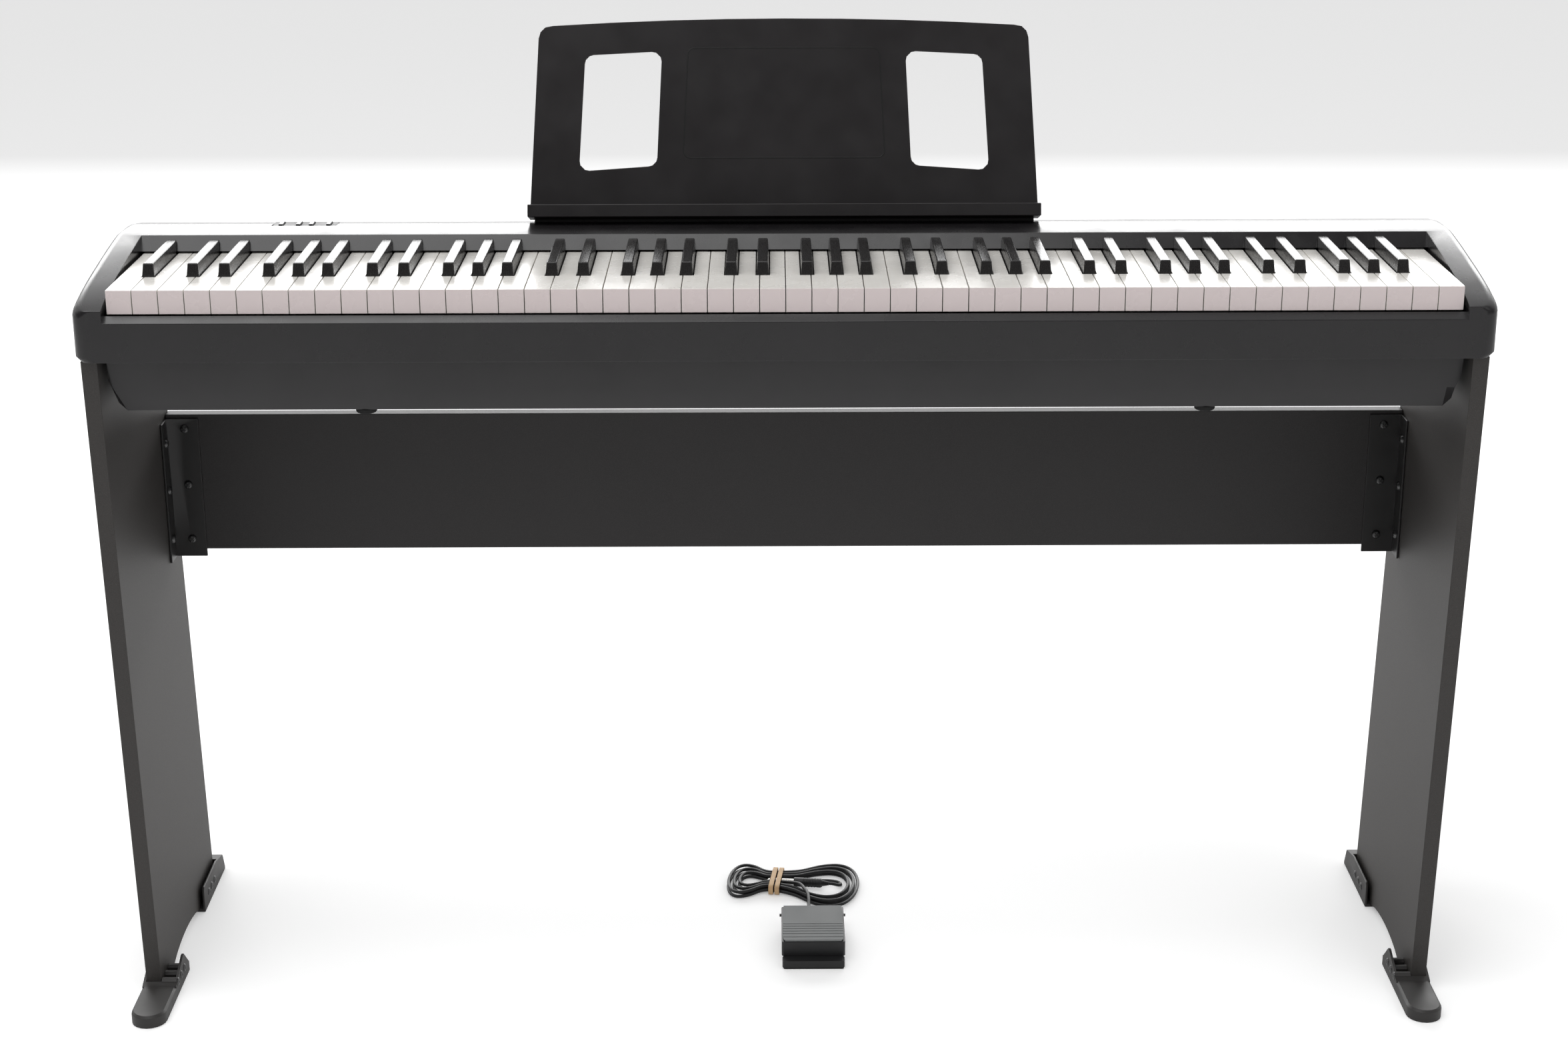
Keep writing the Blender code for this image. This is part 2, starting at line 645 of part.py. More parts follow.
# Socket plate in the rear wall
jack_back = CASE_DEPTH - 0.0008
jack = prism_y([(JACK_X + sx * JACK_W / 2, JACK_Z + sz * JACK_H / 2)
                for sx, sz in ((-1, -1), (1, -1), (1, 1), (-1, 1))], jack_back - JACK_T, jack_back)
jack = fuse(jack, *[block(JACK_X + jx - 0.0065, JACK_X + jx + 0.0065, jack_back - JACK_T - JACK_BODY,
                          jack_back - JACK_T + EPS, JACK_Z - 0.0065, JACK_Z + 0.0065)
                    for jx, _ in JACK_BORES])
jack = cut(jack, *[rod((JACK_X + jx, y_at(jack_back) + EPS, JACK_Z), (0, -1, 0), jr,
                       JACK_BORE_DEEP + EPS, 12) for jx, jr in JACK_BORES])
add("jack_plate", jack, (0.015, 0.015, 0.015), 0.5)


# Keys
BLACK_SHIFT = {1: -0.0027, 3: 0.0027, 6: -0.0035, 8: 0.0, 10: 0.0035}


def black_after(white):
    """X of the black key that follows a white key, numbered from 1, or None."""
    note = (9, 11, 0, 2, 4, 5, 7)[(white - 1) % 7]
    if note in (4, 11) or white >= WHITE_COUNT:
        return None
    return -KEYS_HALF + white * WHITE_PITCH + BLACK_SHIFT[note + 1]


def white_sides(white):
    """Left and right edges of a white key, at its front and at its tail."""
    left = -KEYS_HALF + (white - 1) * WHITE_PITCH + KEY_GAP / 2
    right = left + WHITE_PITCH - KEY_GAP
    before, after = black_after(white - 1) if white > 1 else None, black_after(white)
    tail_left = left if before is None else before + BLACK_W / 2 + KEY_GAP
    tail_right = right if after is None else after - BLACK_W / 2 - KEY_GAP
    return left, right, tail_left, tail_right


NOTCH_D = BLACK_FRONT_D - KEY_GAP
saddle_r = PIVOT_R + SADDLE_GAP
saddle = [(PIVOT_D - saddle_r - 0.0002, KEY_FOOT_Z - 0.0015)]
saddle += [(PIVOT_D + saddle_r * 1.05 * math.cos(math.radians(a)),
            PIVOT_Z + saddle_r * 1.05 * math.sin(math.radians(a))) for a in (180, 140, 100, 80, 40, 0)]
saddle += [(PIVOT_D + saddle_r + 0.0002, KEY_FOOT_Z - 0.0015)]
tail_end = PIVOT_D + TAIL_BACK
tail_outline = [(WHITE_STEP_D - 0.004, RAIL_TOP_Z), (WHITE_STEP_D - 0.004, KEY_FOOT_Z - 0.0008),
                (PIVOT_D - saddle_r - 0.0002, KEY_FOOT_Z - 0.0008)] + saddle[1:-1] + [
    (PIVOT_D + saddle_r + 0.0002, KEY_FOOT_Z - 0.0008), (tail_end, KEY_FOOT_Z - 0.0008),
    (tail_end, RAIL_TOP_Z)]


def white_body(white):
    left, right, tail_left, tail_right = white_sides(white)
    outline = [(left, KEY_FRONT_D), (right, KEY_FRONT_D)]
    if tail_right < right:
        outline += [(right, NOTCH_D)]
    outline += [(tail_right, NOTCH_D)] if tail_right < right else []
    outline += [(tail_right, WHITE_STEP_D), (tail_left, WHITE_STEP_D)]
    if tail_left > left:
        outline += [(tail_left, NOTCH_D), (left, NOTCH_D)]
    return prism_z(outline, KEY_FOOT_Z, KEY_TOP_Z)


def black_body(x, tail):
    """Black key with its tapered cap; tail is the outline of its (depth, z) rear end."""
    back = FALL_FOOT_D - FALL_KEY_GAP
    cap_back = back + fall_slope * BLACK_H
    lower = [(BLACK_FRONT_D, BLACK_FOOT_Z), (BLACK_FRONT_D, KEY_TOP_Z), (back, KEY_TOP_Z),
             (back + 0.0005, KEY_TOP_Z - 0.002)] + tail
    upper = [(BLACK_FRONT_D + BLACK_NOSE, KEY_TOP_Z + BLACK_H), (cap_back, KEY_TOP_Z + BLACK_H)]
    bm = bmesh.new()
    rows = []
    for side in (-1, 1):
        low = [bm.verts.new((x + side * BLACK_W / 2, y_at(d), z)) for d, z in lower]
        high = [bm.verts.new((x + side * BLACK_TOP_W / 2, y_at(d), z)) for d, z in upper]
        bm.faces.new(low)
        bm.faces.new((low[1], high[0], high[1], low[2]))
        rows.append([low[0], low[1], high[0], high[1]] + low[2:])
    count = len(rows[0])
    for i in range(count):
        j = (i + 1) % count
        bm.faces.new((rows[0][i], rows[1][i], rows[1][j], rows[0][j]))
    bmesh.ops.recalc_face_normals(bm, faces=bm.faces[:])
    return bm


black_tail_top = KEY_TOP_Z - 0.002
bank_tail = [(tail_end, black_tail_top), (tail_end, BLACK_FOOT_Z)]
single_tail = [(tail_end, black_tail_top), (tail_end, KEY_FOOT_Z - 0.0008),
               (PIVOT_D + saddle_r + 0.0002, KEY_FOOT_Z - 0.0008)] + saddle[-2:0:-1] + [
    (PIVOT_D - saddle_r - 0.0002, KEY_FOOT_Z - 0.0008), (WHITE_STEP_D + 0.001, KEY_FOOT_Z - 0.0008),
    (WHITE_STEP_D + 0.001, BLACK_FOOT_Z)]
pivot = (0.0, y_at(PIVOT_D), PIVOT_Z)
IVORY = (0.86, 0.84, 0.76)
EBONY = (0.012, 0.011, 0.012)


def white_bank(name, first, last):
    keys = [white_body(w) for w in range(first, last + 1)]
    rail = prism_x(tail_outline, white_sides(first)[2], white_sides(last)[3])
    add(name, fuse(rail, *keys), IVORY, 0.3, origin=pivot)


def black_bank(name, first, last):
    places = [black_after(w) for w in range(first, last + 1) if black_after(w) is not None]
    rail = block(places[0] - BLACK_W / 2, places[-1] + BLACK_W / 2, PIVOT_D - 0.009, tail_end,
                 BLACK_FOOT_Z, BLACK_FOOT_Z + 0.006)
    add(name, fuse(rail, *[black_body(x, bank_tail) for x in places]), EBONY, 0.25, origin=pivot)


octave = range(OCTAVE_FIRST + 1, OCTAVE_FIRST + 8)
white_bank("white_keys_low", 1, octave[0] - 1)
white_bank("white_keys_high", octave[-1] + 1, WHITE_COUNT)
black_bank("black_keys_low", 1, octave[0] - 1)
black_bank("black_keys_high", octave[-1] + 1, WHITE_COUNT)
letters = "cdefgab"
for number, white in enumerate(octave):
    _, _, tail_left, tail_right = white_sides(white)
    tail = prism_x(tail_outline, tail_left, tail_right)
    add("white_key_" + letters[number], fuse(tail, white_body(white)), IVORY, 0.3,
        origin=((tail_left + tail_right) / 2, pivot[1], pivot[2]))
    black_x = black_after(white)
    if black_x is not None:
        add("black_key_" + letters[number] + "_sharp", black_body(black_x, single_tail), EBONY, 0.25,
            origin=(black_x, pivot[1], pivot[2]))

# Music rest: leaning panel with two windows, ledge, lip, and a tongue in the top panel's slot
arch_rise = REST_H - REST_CORNER_H
corner_x = REST_HALF_TOP
side_dir = math.degrees(math.atan2(REST_CORNER_H, REST_HALF_TOP - REST_HALF_FOOT))
top_points = []
for i in range(9):
    share = 1 - i / 4
    half = REST_HALF_TOP - REST_CORNER_R * 1.05
    top_points.append((half * share, REST_H - arch_rise * (share * half / corner_x) ** 2))
edge_z = top_points[0][1]
right_corner = [(corner_x + 0.0006, edge_z - REST_CORNER_R * 0.95),
                (corner_x - REST_CORNER_R * 0.10, edge_z - REST_CORNER_R * 0.46),
                (corner_x - REST_CORNER_R * 0.46, edge_z - REST_CORNER_R * 0.11)]
left_corner = [(-x, u) for x, u in reversed(right_corner)]
rest_outline = [(-REST_HALF_FOOT, LEDGE_T), (-REST_HALF_FOOT, FIT), (-TONGUE_HALF, FIT),
                (-TONGUE_HALF, -REST_TONGUE), (TONGUE_HALF, -REST_TONGUE), (TONGUE_HALF, FIT),
                (REST_HALF_FOOT, FIT), (REST_HALF_FOOT, LEDGE_T)]
rest_outline += right_corner + top_points + left_corner
rest = rest_prism(rest_outline, 0.0, -REST_T)
ledge = rest_bar([(FIT, -REST_T / 2), (FIT, LEDGE_OUT), (LIP_H, LEDGE_OUT), (LIP_H, LEDGE_OUT - LIP_T),
                  (LEDGE_T, LEDGE_OUT - LIP_T), (LEDGE_T, -REST_T / 2)], -REST_HALF_FOOT, REST_HALF_FOOT)
rest = fuse(rest, ledge)
windows = []
for side in (-1, 1):
    corners = [(side * HOLE_IN_FOOT, HOLE_IN_FOOT_U), (side * HOLE_OUT_FOOT, HOLE_OUT_FOOT_U),
               (side * HOLE_OUT_TOP, HOLE_OUT_TOP_U), (side * HOLE_IN_TOP, HOLE_IN_TOP_U)]
    windows.append(rest_prism(round_quad(corners, HOLE_R), EPS, -REST_T - EPS))
rest = cut(rest, *windows)
add("music_rest", rest, (0.016, 0.014, 0.015), 0.5,
    origin=rest_point(0.0, 0.0, 0.0))


# Stand
def board_front(z):
    share = (SKIRT_Z - z) / SKIRT_Z
    return BOARD_FRONT_TOP_D + (BOARD_FRONT_FOOT_D - BOARD_FRONT_TOP_D) * share


def board_rear(z):
    share = (SKIRT_Z - z) / SKIRT_Z
    return BOARD_REAR_TOP_D + (BOARD_REAR_FOOT_D - BOARD_REAR_TOP_D) * share


board_top_z = SKIRT_Z - FIT
arch_front, arch_rear = FRONT_SHOE_REAR_D + 0.004, REAR_SHOE_FRONT_D - 0.004
arch_points = [(arch_rear + (arch_front - arch_rear) * i / 8,
                BOARD_FOOT_Z + (ARCH_Z - BOARD_FOOT_Z) * math.sin(math.pi * i / 8) ** 0.7 if 0 < i < 8
                else BOARD_FOOT_Z) for i in range(9)]
board_outline = [(board_front(board_top_z), board_top_z), (board_front(BOARD_FOOT_Z), BOARD_FOOT_Z)]
board_outline += arch_points[::-1]
board_outline += [(board_rear(BOARD_FOOT_Z), BOARD_FOOT_Z), (board_rear(board_top_z), board_top_z)]
for side, label in ((-1, "left"), (1, "right")):
    board = prism_x(board_outline, BOARD_IN, STAND_HALF)
    board = cut(board, *[rod((BOARD_IN - EPS, y_at(d), BOLT_Z), (1, 0, 0), BOLT_HOLE_R,
                             BOARD_THICK + 2 * EPS, 10) for d in BOLT_D])
    add("side_panel_" + label, board if side > 0 else mirror_x(board), (0.02, 0.018, 0.018), 0.6)
    for place, d in zip(("front", "rear"), BOLT_D):
        bolt = turned((STAND_HALF + FIT + BOLT_HEAD_H, y_at(d), BOLT_Z), (-1, 0, 0),
                      ((0, BOLT_HEAD_R * 0.6), (BOLT_HEAD_H * 0.5, BOLT_HEAD_R * 0.92),
                       (BOLT_HEAD_H, BOLT_HEAD_R), (BOLT_HEAD_H + 0.0001, BOLT_R),
                       (BOLT_HEAD_H + FIT + STAND_HALF - LOWER_HALF + BOLT_REACH * 0.9, BOLT_R)), 12)
        add("case_bolt_%s_%s" % (place, label), bolt if side > 0 else mirror_x(bolt),
            (0.03, 0.03, 0.03), 0.35, 1.0, smooth=True)

cross_half = BOARD_IN - FIT
add("cross_panel", block(-cross_half, cross_half, CROSS_FRONT_D, CROSS_FRONT_D + BOARD_THICK,
                         CROSS_FOOT_Z, CROSS_TOP_Z), (0.02, 0.018, 0.018), 0.6)
for side, label in ((-1, "left"), (1, "right")):
    face_d = CROSS_FRONT_D - FIT
    face_x = BOARD_IN - FIT
    angle = [(face_x, face_d), (face_x - BRACKET_W - BRACKET_T, face_d),
             (face_x - BRACKET_W - BRACKET_T, face_d - BRACKET_T),
             (face_x - BRACKET_T, face_d - BRACKET_T), (face_x - BRACKET_T, face_d - BRACKET_SIDE_W),
             (face_x, face_d - BRACKET_SIDE_W)]
    bracket = prism_z(angle, BRACKET_FOOT_Z, BRACKET_TOP_Z)
    heads = [rod((face_x - BRACKET_T - BRACKET_W * 0.55, y_at(face_d - BRACKET_T + EPS), z), (0, -1, 0),
                 SCREW_HEAD_R, SCREW_HEAD_H + EPS, 8, SCREW_HEAD_R * 0.6) for z in BRACKET_SCREWS_Z]
    heads += [rod((face_x - BRACKET_T + EPS, y_at(face_d - BRACKET_SIDE_W * 0.55), z), (-1, 0, 0),
                  SCREW_HEAD_R, SCREW_HEAD_H + EPS, 8, SCREW_HEAD_R * 0.6) for z in SIDE_SCREWS_Z]
    bracket = fuse(bracket, *heads)
    add("bracket_" + label, bracket if side > 0 else mirror_x(bracket), (0.02, 0.02, 0.02), 0.35, 1.0)

# Shoes: channels round the lower edge of each side panel
slot_in, slot_out = BOARD_IN - FIT, STAND_HALF + FIT
slot_floor = BOARD_FOOT_Z - FIT


def shoe_screws(inner_x, middle_d):
    """Screw heads on the inner wall, and the spacers behind them that meet the side panel."""
    places = [(inner_x, y_at(middle_d + k * SHOE_SCREW_STEP), SHOE_SCREW_Z) for k in (-1, 0, 1)]
    heads = [rod((x + EPS, y, z), (-1, 0, 0), SHOE_SCREW_R, SHOE_SCREW_H + EPS, 8, SHOE_SCREW_R * 0.8)
             for x, y, z in places]
    return heads + [rod((x + EPS, y, z), (1, 0, 0), SHOE_SCREW_R * 1.1, slot_in - x - EPS, 8)
                    for x, y, z in places]


for side, label in ((-1, "left"), (1, "right")):
    toe_x = SHOE_OUT - TOE_HALF_W
    toe_d = -TOE_REACH + TOE_HALF_W
    nose = [(x, d) for x, d in arc(toe_x, toe_d, TOE_HALF_W, 180, 360, 10)]
    base_in = min(FRONT_SHOE_IN, toe_x - TOE_HALF_W)
    plan = nose + [(SHOE_OUT, FRONT_SHOE_REAR_D), (FRONT_SHOE_IN, FRONT_SHOE_REAR_D),
                   (FRONT_SHOE_IN, TOE_BACK_D + 0.004), (base_in, TOE_BACK_D - 0.006)]
    edge = 0.0022
    slim = [(toe_x + (x - toe_x) * (1 - edge / TOE_HALF_W), toe_d + (d - toe_d) * (1 - edge / TOE_HALF_W))
            for x, d in nose]
    slim += [(SHOE_OUT - edge, FRONT_SHOE_REAR_D - edge), (FRONT_SHOE_IN + edge, FRONT_SHOE_REAR_D - edge),
             (FRONT_SHOE_IN + edge, TOE_BACK_D + 0.004), (base_in + edge, TOE_BACK_D - 0.006)]
    toe = skin([[(x, y_at(d), z) for x, d in ring] for ring, z in (
        (plan, 0.0), (plan, TOE_H - edge), (slim, TOE_H))])
    cheeks = prism_x([(TOE_BACK_D, TOE_H * 0.5), (FRONT_SHOE_REAR_D - EPS, TOE_H * 0.5),
                      (FRONT_SHOE_REAR_D - EPS, TOE_H * 0.8), (FRONT_SHOE_TIP_D, SHOE_H),
                      (FRONT_SHOE_TIP_D - 0.004, SHOE_H), (TOE_BACK_D, TOE_H)],
                     FRONT_SHOE_IN + 0.0001, SHOE_OUT - 0.0001)
    shoe = fuse(toe, cheeks)
    groove_in = FRONT_SHOE_IN + SHOE_WALL
    channel = prism_x([(board_front(SHOE_H) - 0.0012, SHOE_H + EPS),
                       (board_front(slot_floor) - 0.0004, slot_floor),
                       (FRONT_SHOE_REAR_D + EPS, slot_floor), (FRONT_SHOE_REAR_D + EPS, SHOE_H + EPS)],
                      groove_in, slot_out)
    shoe = cut(shoe, channel)
    shoe = fuse(shoe, *shoe_screws(FRONT_SHOE_IN, (TOE_BACK_D + FRONT_SHOE_REAR_D) / 2 - 0.006))
    add("front_shoe_" + label, shoe if side > 0 else mirror_x(shoe), (0.022, 0.021, 0.02), 0.55)

    profile = [(REAR_SHOE_FRONT_D, 0.0), (REAR_SHOE_REAR_D, 0.0), (REAR_SHOE_REAR_D, 0.0036),
               (REAR_SHOE_TIP_D, REAR_SHOE_TIP_Z), (REAR_SHOE_TIP_D - 0.033, SHOE_H),
               (REAR_SHOE_FRONT_D + 0.003, SHOE_H), (REAR_SHOE_FRONT_D, SHOE_H - 0.003)]
    shoe = prism_x(profile, REAR_SHOE_IN, SHOE_OUT)
    channel = prism_x([(REAR_SHOE_FRONT_D - EPS, slot_floor), (board_rear(slot_floor) + 0.0006, slot_floor),
                       (board_rear(SHOE_H) + 0.0014, SHOE_H + EPS),
                       (REAR_SHOE_FRONT_D - EPS, SHOE_H + EPS)], REAR_SHOE_IN + SHOE_WALL, slot_out)
    shoe = cut(shoe, channel)
    shoe = fuse(shoe, *shoe_screws(REAR_SHOE_IN, (REAR_SHOE_FRONT_D + REAR_SHOE_REAR_D) / 2 - 0.0165))
    add("rear_shoe_" + label, shoe if side > 0 else mirror_x(shoe), (0.022, 0.021, 0.02), 0.55)


# Sustain pedal
def pedal_block(half, d0, d1, z0, z1):
    return block(PEDAL_X - half, PEDAL_X + half, d0, d1, z0, z1)


def pedal_plate(half, d0, d1, z0, z1, radius):
    corners = [(PEDAL_X - half, d0), (PEDAL_X + half, d0), (PEDAL_X + half, d1), (PEDAL_X - half, d1)]
    return prism_z(round_quad(corners, radius, 2), z0, z1)


tray_z = SOLE_T + FIT
tray_rear = PEDAL_REAR_D - PEDAL_WALL - 0.0006
add("pedal_sole", pedal_plate(TRAY_LIP_HALF - 0.0008, PEDAL_FRONT_D + 0.0008, PEDAL_REAR_D - 0.001, 0.0,
                              SOLE_T, 0.002), (0.015, 0.015, 0.015), 0.9)
lip_back = SKIRT_D - 0.0007
base = fuse(pedal_plate(TRAY_LIP_HALF, PEDAL_FRONT_D, lip_back, tray_z, TRAY_LIP_Z, 0.0026),
            pedal_block(TRAY_HALF, lip_back - 0.004, tray_rear, tray_z, TRAY_WALL_Z))
ears = [block(PEDAL_X + s * (TRAY_HALF - PEDAL_WALL), PEDAL_X + s * TRAY_HALF, PIN_D - 0.0035,
              PIN_D + 0.0035, tray_z + TRAY_T, PIN_Z + 0.0040) for s in (-1, 1)]
gland_post = pedal_block(0.0065, tray_rear - 0.004, tray_rear, tray_z, GLAND_Z + 0.005)
bmesh.ops.translate(gland_post, verts=gland_post.verts[:], vec=(GLAND_X - PEDAL_X, 0, 0))
base = cut(base, pedal_block(TRAY_HALF - PEDAL_WALL, lip_back, tray_rear - PEDAL_WALL,
                             tray_z + TRAY_T, PEDAL_TOP_Z),
           pedal_block(TRAY_HALF + EPS, lip_back, lip_back + PEDAL_WALL + 0.0026, tray_z + TRAY_T,
                       PEDAL_TOP_Z))
base = fuse(base, *ears, gland_post)
pin_hole_r = PIN_R + FIT
base = cut(base, rod((PEDAL_X - PEDAL_HALF - EPS, y_at(PIN_D), PIN_Z), (1, 0, 0), pin_hole_r,
                     2 * (PEDAL_HALF + EPS), 10))
add("pedal_base", base, (0.012, 0.012, 0.013), 0.5)

top_in = PEDAL_TOP_Z - PEDAL_WALL
treadle = pedal_plate(PEDAL_HALF, SKIRT_D, PEDAL_REAR_D, SKIRT_FOOT_Z, PEDAL_TOP_Z, 0.0026)
treadle = cut(treadle,
              pedal_block(PEDAL_HALF - PEDAL_WALL, SKIRT_D + PEDAL_WALL, PEDAL_REAR_D - PEDAL_WALL,
                          SKIRT_FOOT_Z - EPS, top_in),
              block(GLAND_X - 0.0075, GLAND_X + 0.0075, PEDAL_REAR_D - PEDAL_WALL - EPS,
                    PEDAL_REAR_D + EPS, SKIRT_FOOT_Z - EPS, GLAND_Z + 0.0068),
              rod((PEDAL_X - PEDAL_HALF - EPS, y_at(PIN_D), PIN_Z), (1, 0, 0), pin_hole_r,
                  2 * (PEDAL_HALF + EPS), 10))
hinge = (PEDAL_X, y_at(PIN_D), PIN_Z)
add("pedal_treadle", treadle, (0.012, 0.012, 0.013), 0.45, origin=hinge)
add("pedal_pad", pedal_plate(PEDAL_HALF - PAD_INSET, SKIRT_D + PAD_INSET, PEDAL_REAR_D - PAD_INSET,
                             PEDAL_TOP_Z + FIT, PEDAL_TOP_Z + FIT + PAD_T, 0.0022),
    (0.22, 0.23, 0.23), 0.7, origin=hinge)
add("pedal_pin", rod((PEDAL_X - PEDAL_HALF - PIN_PROUD, y_at(PIN_D), PIN_Z), (1, 0, 0), PIN_R,
                     2 * (PEDAL_HALF + PIN_PROUD), 10), (0.05, 0.05, 0.05), 0.4, 1.0, smooth=True)
add("pedal_spring", rod((PEDAL_X, y_at(SPRING_D), tray_z + TRAY_T + FIT), (0, 0, 1), SPRING_R,
                        top_in - tray_z - TRAY_T - 2 * FIT, 10), (0.5, 0.5, 0.5), 0.3, 1.0, smooth=True)
gland_d = tray_rear + FIT
add("pedal_gland", turned((GLAND_X, y_at(gland_d), GLAND_Z), (0, 1, 0),
                          ((0, GLAND_R), (GLAND_L * 0.25, GLAND_R), (GLAND_L, CORD_D * 0.8)), 10),
    (0.015, 0.015, 0.015), 0.6, smooth=True)


# Cord of the pedal: a lead, then one unbroken hank in two layers, then the plug
def hank_frame(a, b, z):
    """World point from the hank's own length and breadth."""
    c, s = math.cos(HANK_TURN), math.sin(HANK_TURN)
    return Vector((WAIST_X + a * c - b * s, y_at(WAIST_D) + a * s + b * c, z))


def hank_point(turns, ring, height):
    """Point of a loop: turns from the upper waist, ring counted out from the innermost loop."""
    t = math.pi / 2 + 2 * math.pi * turns
    cos_t, sin_t = math.cos(t), math.sin(t)
    right = cos_t > 0
    slack = HANK_LOOPS - ring
    reach = (RIGHT_REACH if right else LEFT_REACH) - LOBE_STEP * slack
    bulge = (RIGHT_BULGE if right else LEFT_BULGE) - BULGE_STEP * slack
    a = reach * cos_t
    waist = WAIST_GAP + WAIST_STEP * ring
    opening = max(abs(a) - NECK, 0.0) / reach
    spread = math.sqrt(opening ** 2 + 0.01) - 0.1
    b = sin_t * (waist + bulge * spread)
    lift = WAIST_LIFT * math.exp(-(a / 0.026) ** 2)
    return a, b, height + lift


def hank_line():
    """Centre line of the hank, from its lead end to the plug's end."""
    layer_turns = HANK_LOOPS
    total = 2 * layer_turns + 0.5
    steps = round(total * HANK_POINTS)
    points = []
    for i in range(steps + 1):
        turns = total * i / steps
        if turns <= layer_turns:
            ring, rise = turns, 0.0
        elif turns < layer_turns + 0.5:
            share = (turns - layer_turns) / 0.5
            ring, rise = layer_turns, share * share * (3 - 2 * share)
        else:
            ring, rise = total - turns, 1.0
        points.append(hank_point(turns, ring, CORD_FLOOR + LAYER_STEP * rise))
    return points


plug_z = CORD_FLOOR + WAIST_LIFT + 0.0024
plug_tail_a = 0.0190 + PLUG_L + PLUG_TAIL_L
tail_line = [(plug_tail_a + FIT, 0.0, plug_z), (plug_tail_a + 0.0040, 0.0, plug_z),
             (plug_tail_a + 0.0095, 0.0018, plug_z - 0.0020), (plug_tail_a + 0.0125, 0.0070, CORD_FLOOR),
             (plug_tail_a + 0.0095, 0.0125, CORD_FLOOR), (plug_tail_a + 0.0020, 0.0150, CORD_FLOOR),
             (plug_tail_a - 0.0100, 0.0146, CORD_FLOOR), (plug_tail_a - 0.0220, 0.0122, CORD_FLOOR + 0.0002),
             (plug_tail_a - 0.0330, 0.0090, CORD_FLOOR + 0.0006),
             (plug_tail_a - 0.0430, 0.0066, CORD_FLOOR + 0.0012)]
hank = hank_line()
hank_path = [hank_frame(*p) for p in tail_line + hank]
lead_direction = (hank_path[-1] - hank_path[-2]).normalized()
hank_path.append(hank_path[-1] + lead_direction * CORD_D * 1.4)


def smooth_line(points, spacing):
    """Points at an even spacing on a smooth curve through the route's own points."""
    knots = [2 * points[0] - points[1]] + points + [2 * points[-1] - points[-2]]
    fine = []
    for i in range(1, len(knots) - 2):
        p0, p1, p2, p3 = knots[i - 1:i + 3]
        for k in range(16):
            t = k / 16
            fine.append(0.5 * ((2 * p1) + (p2 - p0) * t + (2 * p0 - 5 * p1 + 4 * p2 - p3) * t ** 2
                               + (3 * p1 - p0 - 3 * p2 + p3) * t ** 3))
    fine.append(knots[-2])
    run = [0.0]
    for a, b in zip(fine, fine[1:]):
        run.append(run[-1] + (b - a).length)
    count = max(2, round(run[-1] / spacing))
    out, j = [], 0
    for i in range(count + 1):
        goal = run[-1] * i / count
        while j < len(run) - 2 and run[j + 1] < goal:
            j += 1
        share = (goal - run[j]) / (run[j + 1] - run[j])
        out.append(fine[j].lerp(fine[j + 1], share))
    return out


def tube(name, points, radius, resolution, colour, roughness):
    curve = bpy.data.curves.new(name, 'CURVE')
    curve.dimensions = '3D'
    curve.resolution_u = 1
    curve.render_resolution_u = 0
    curve.bevel_depth = radius
    curve.bevel_resolution = resolution
    curve.use_fill_caps = True
    curve.twist_mode = 'MINIMUM'
    spline = curve.splines.new('POLY')
    spline.points.add(len(points) - 1)
    for slot, p in zip(spline.points, points):
        slot.co = (*p, 1.0)
    ob = bpy.data.objects.new(name, curve)
    bpy.context.scene.collection.objects.link(ob)
    curve.materials.append(finish_material(name + "_finish", colour, roughness))
    return ob


def least_gap(points, radius, skip):
    """Least distance between runs of the line further than skip apart along it, less a diameter."""
    fine = []
    for a, b in zip(points, points[1:]):
        fine += [a.lerp(b, k / 4) for k in range(4)]
    spots = np.array([tuple(p) for p in fine])
    run = np.concatenate(([0.0], np.cumsum(np.linalg.norm(np.diff(spots, axis=0), axis=1))))
    least = 1.0
    for i in range(len(spots)):
        far = run - run[i] > skip
        if far.any():
            least = min(least, float(np.linalg.norm(spots[far] - spots[i], axis=1).min()))
    return least - 2 * radius


BLACK_CORD = (0.012, 0.012, 0.013)
tube("pedal_cord_hank", hank_path, CORD_D / 2, 1, BLACK_CORD, 0.45)
print("least gap of the hank to itself: %.2f mm" % (1000 * least_gap(hank_path, CORD_D / 2, 0.012)))

lead_start = hank_path[-1] + lead_direction * FIT
cross_z = CORD_FLOOR + LAYER_STEP + CORD_D + 0.0013
lead_route = [lead_start, lead_start + lead_direction * CORD_D * 1.2,
              Vector((0.0140, y_at(0.2735), cross_z + 0.0006)), Vector((0.0200, y_at(0.2610), cross_z + 0.0010)),
              Vector((0.0236, y_at(0.2490), cross_z + 0.0008)), Vector((0.0245, y_at(0.2370), cross_z)),
              Vector((GLAND_X, y_at(0.2250), GLAND_Z + 0.0006)), Vector((GLAND_X, y_at(0.2150), GLAND_Z)),
              Vector((GLAND_X, y_at(gland_d + GLAND_L + FIT), GLAND_Z))]
tube("pedal_cord_lead", smooth_line(lead_route, CORD_D * 1.6), CORD_D / 2, 2, BLACK_CORD, 0.45)

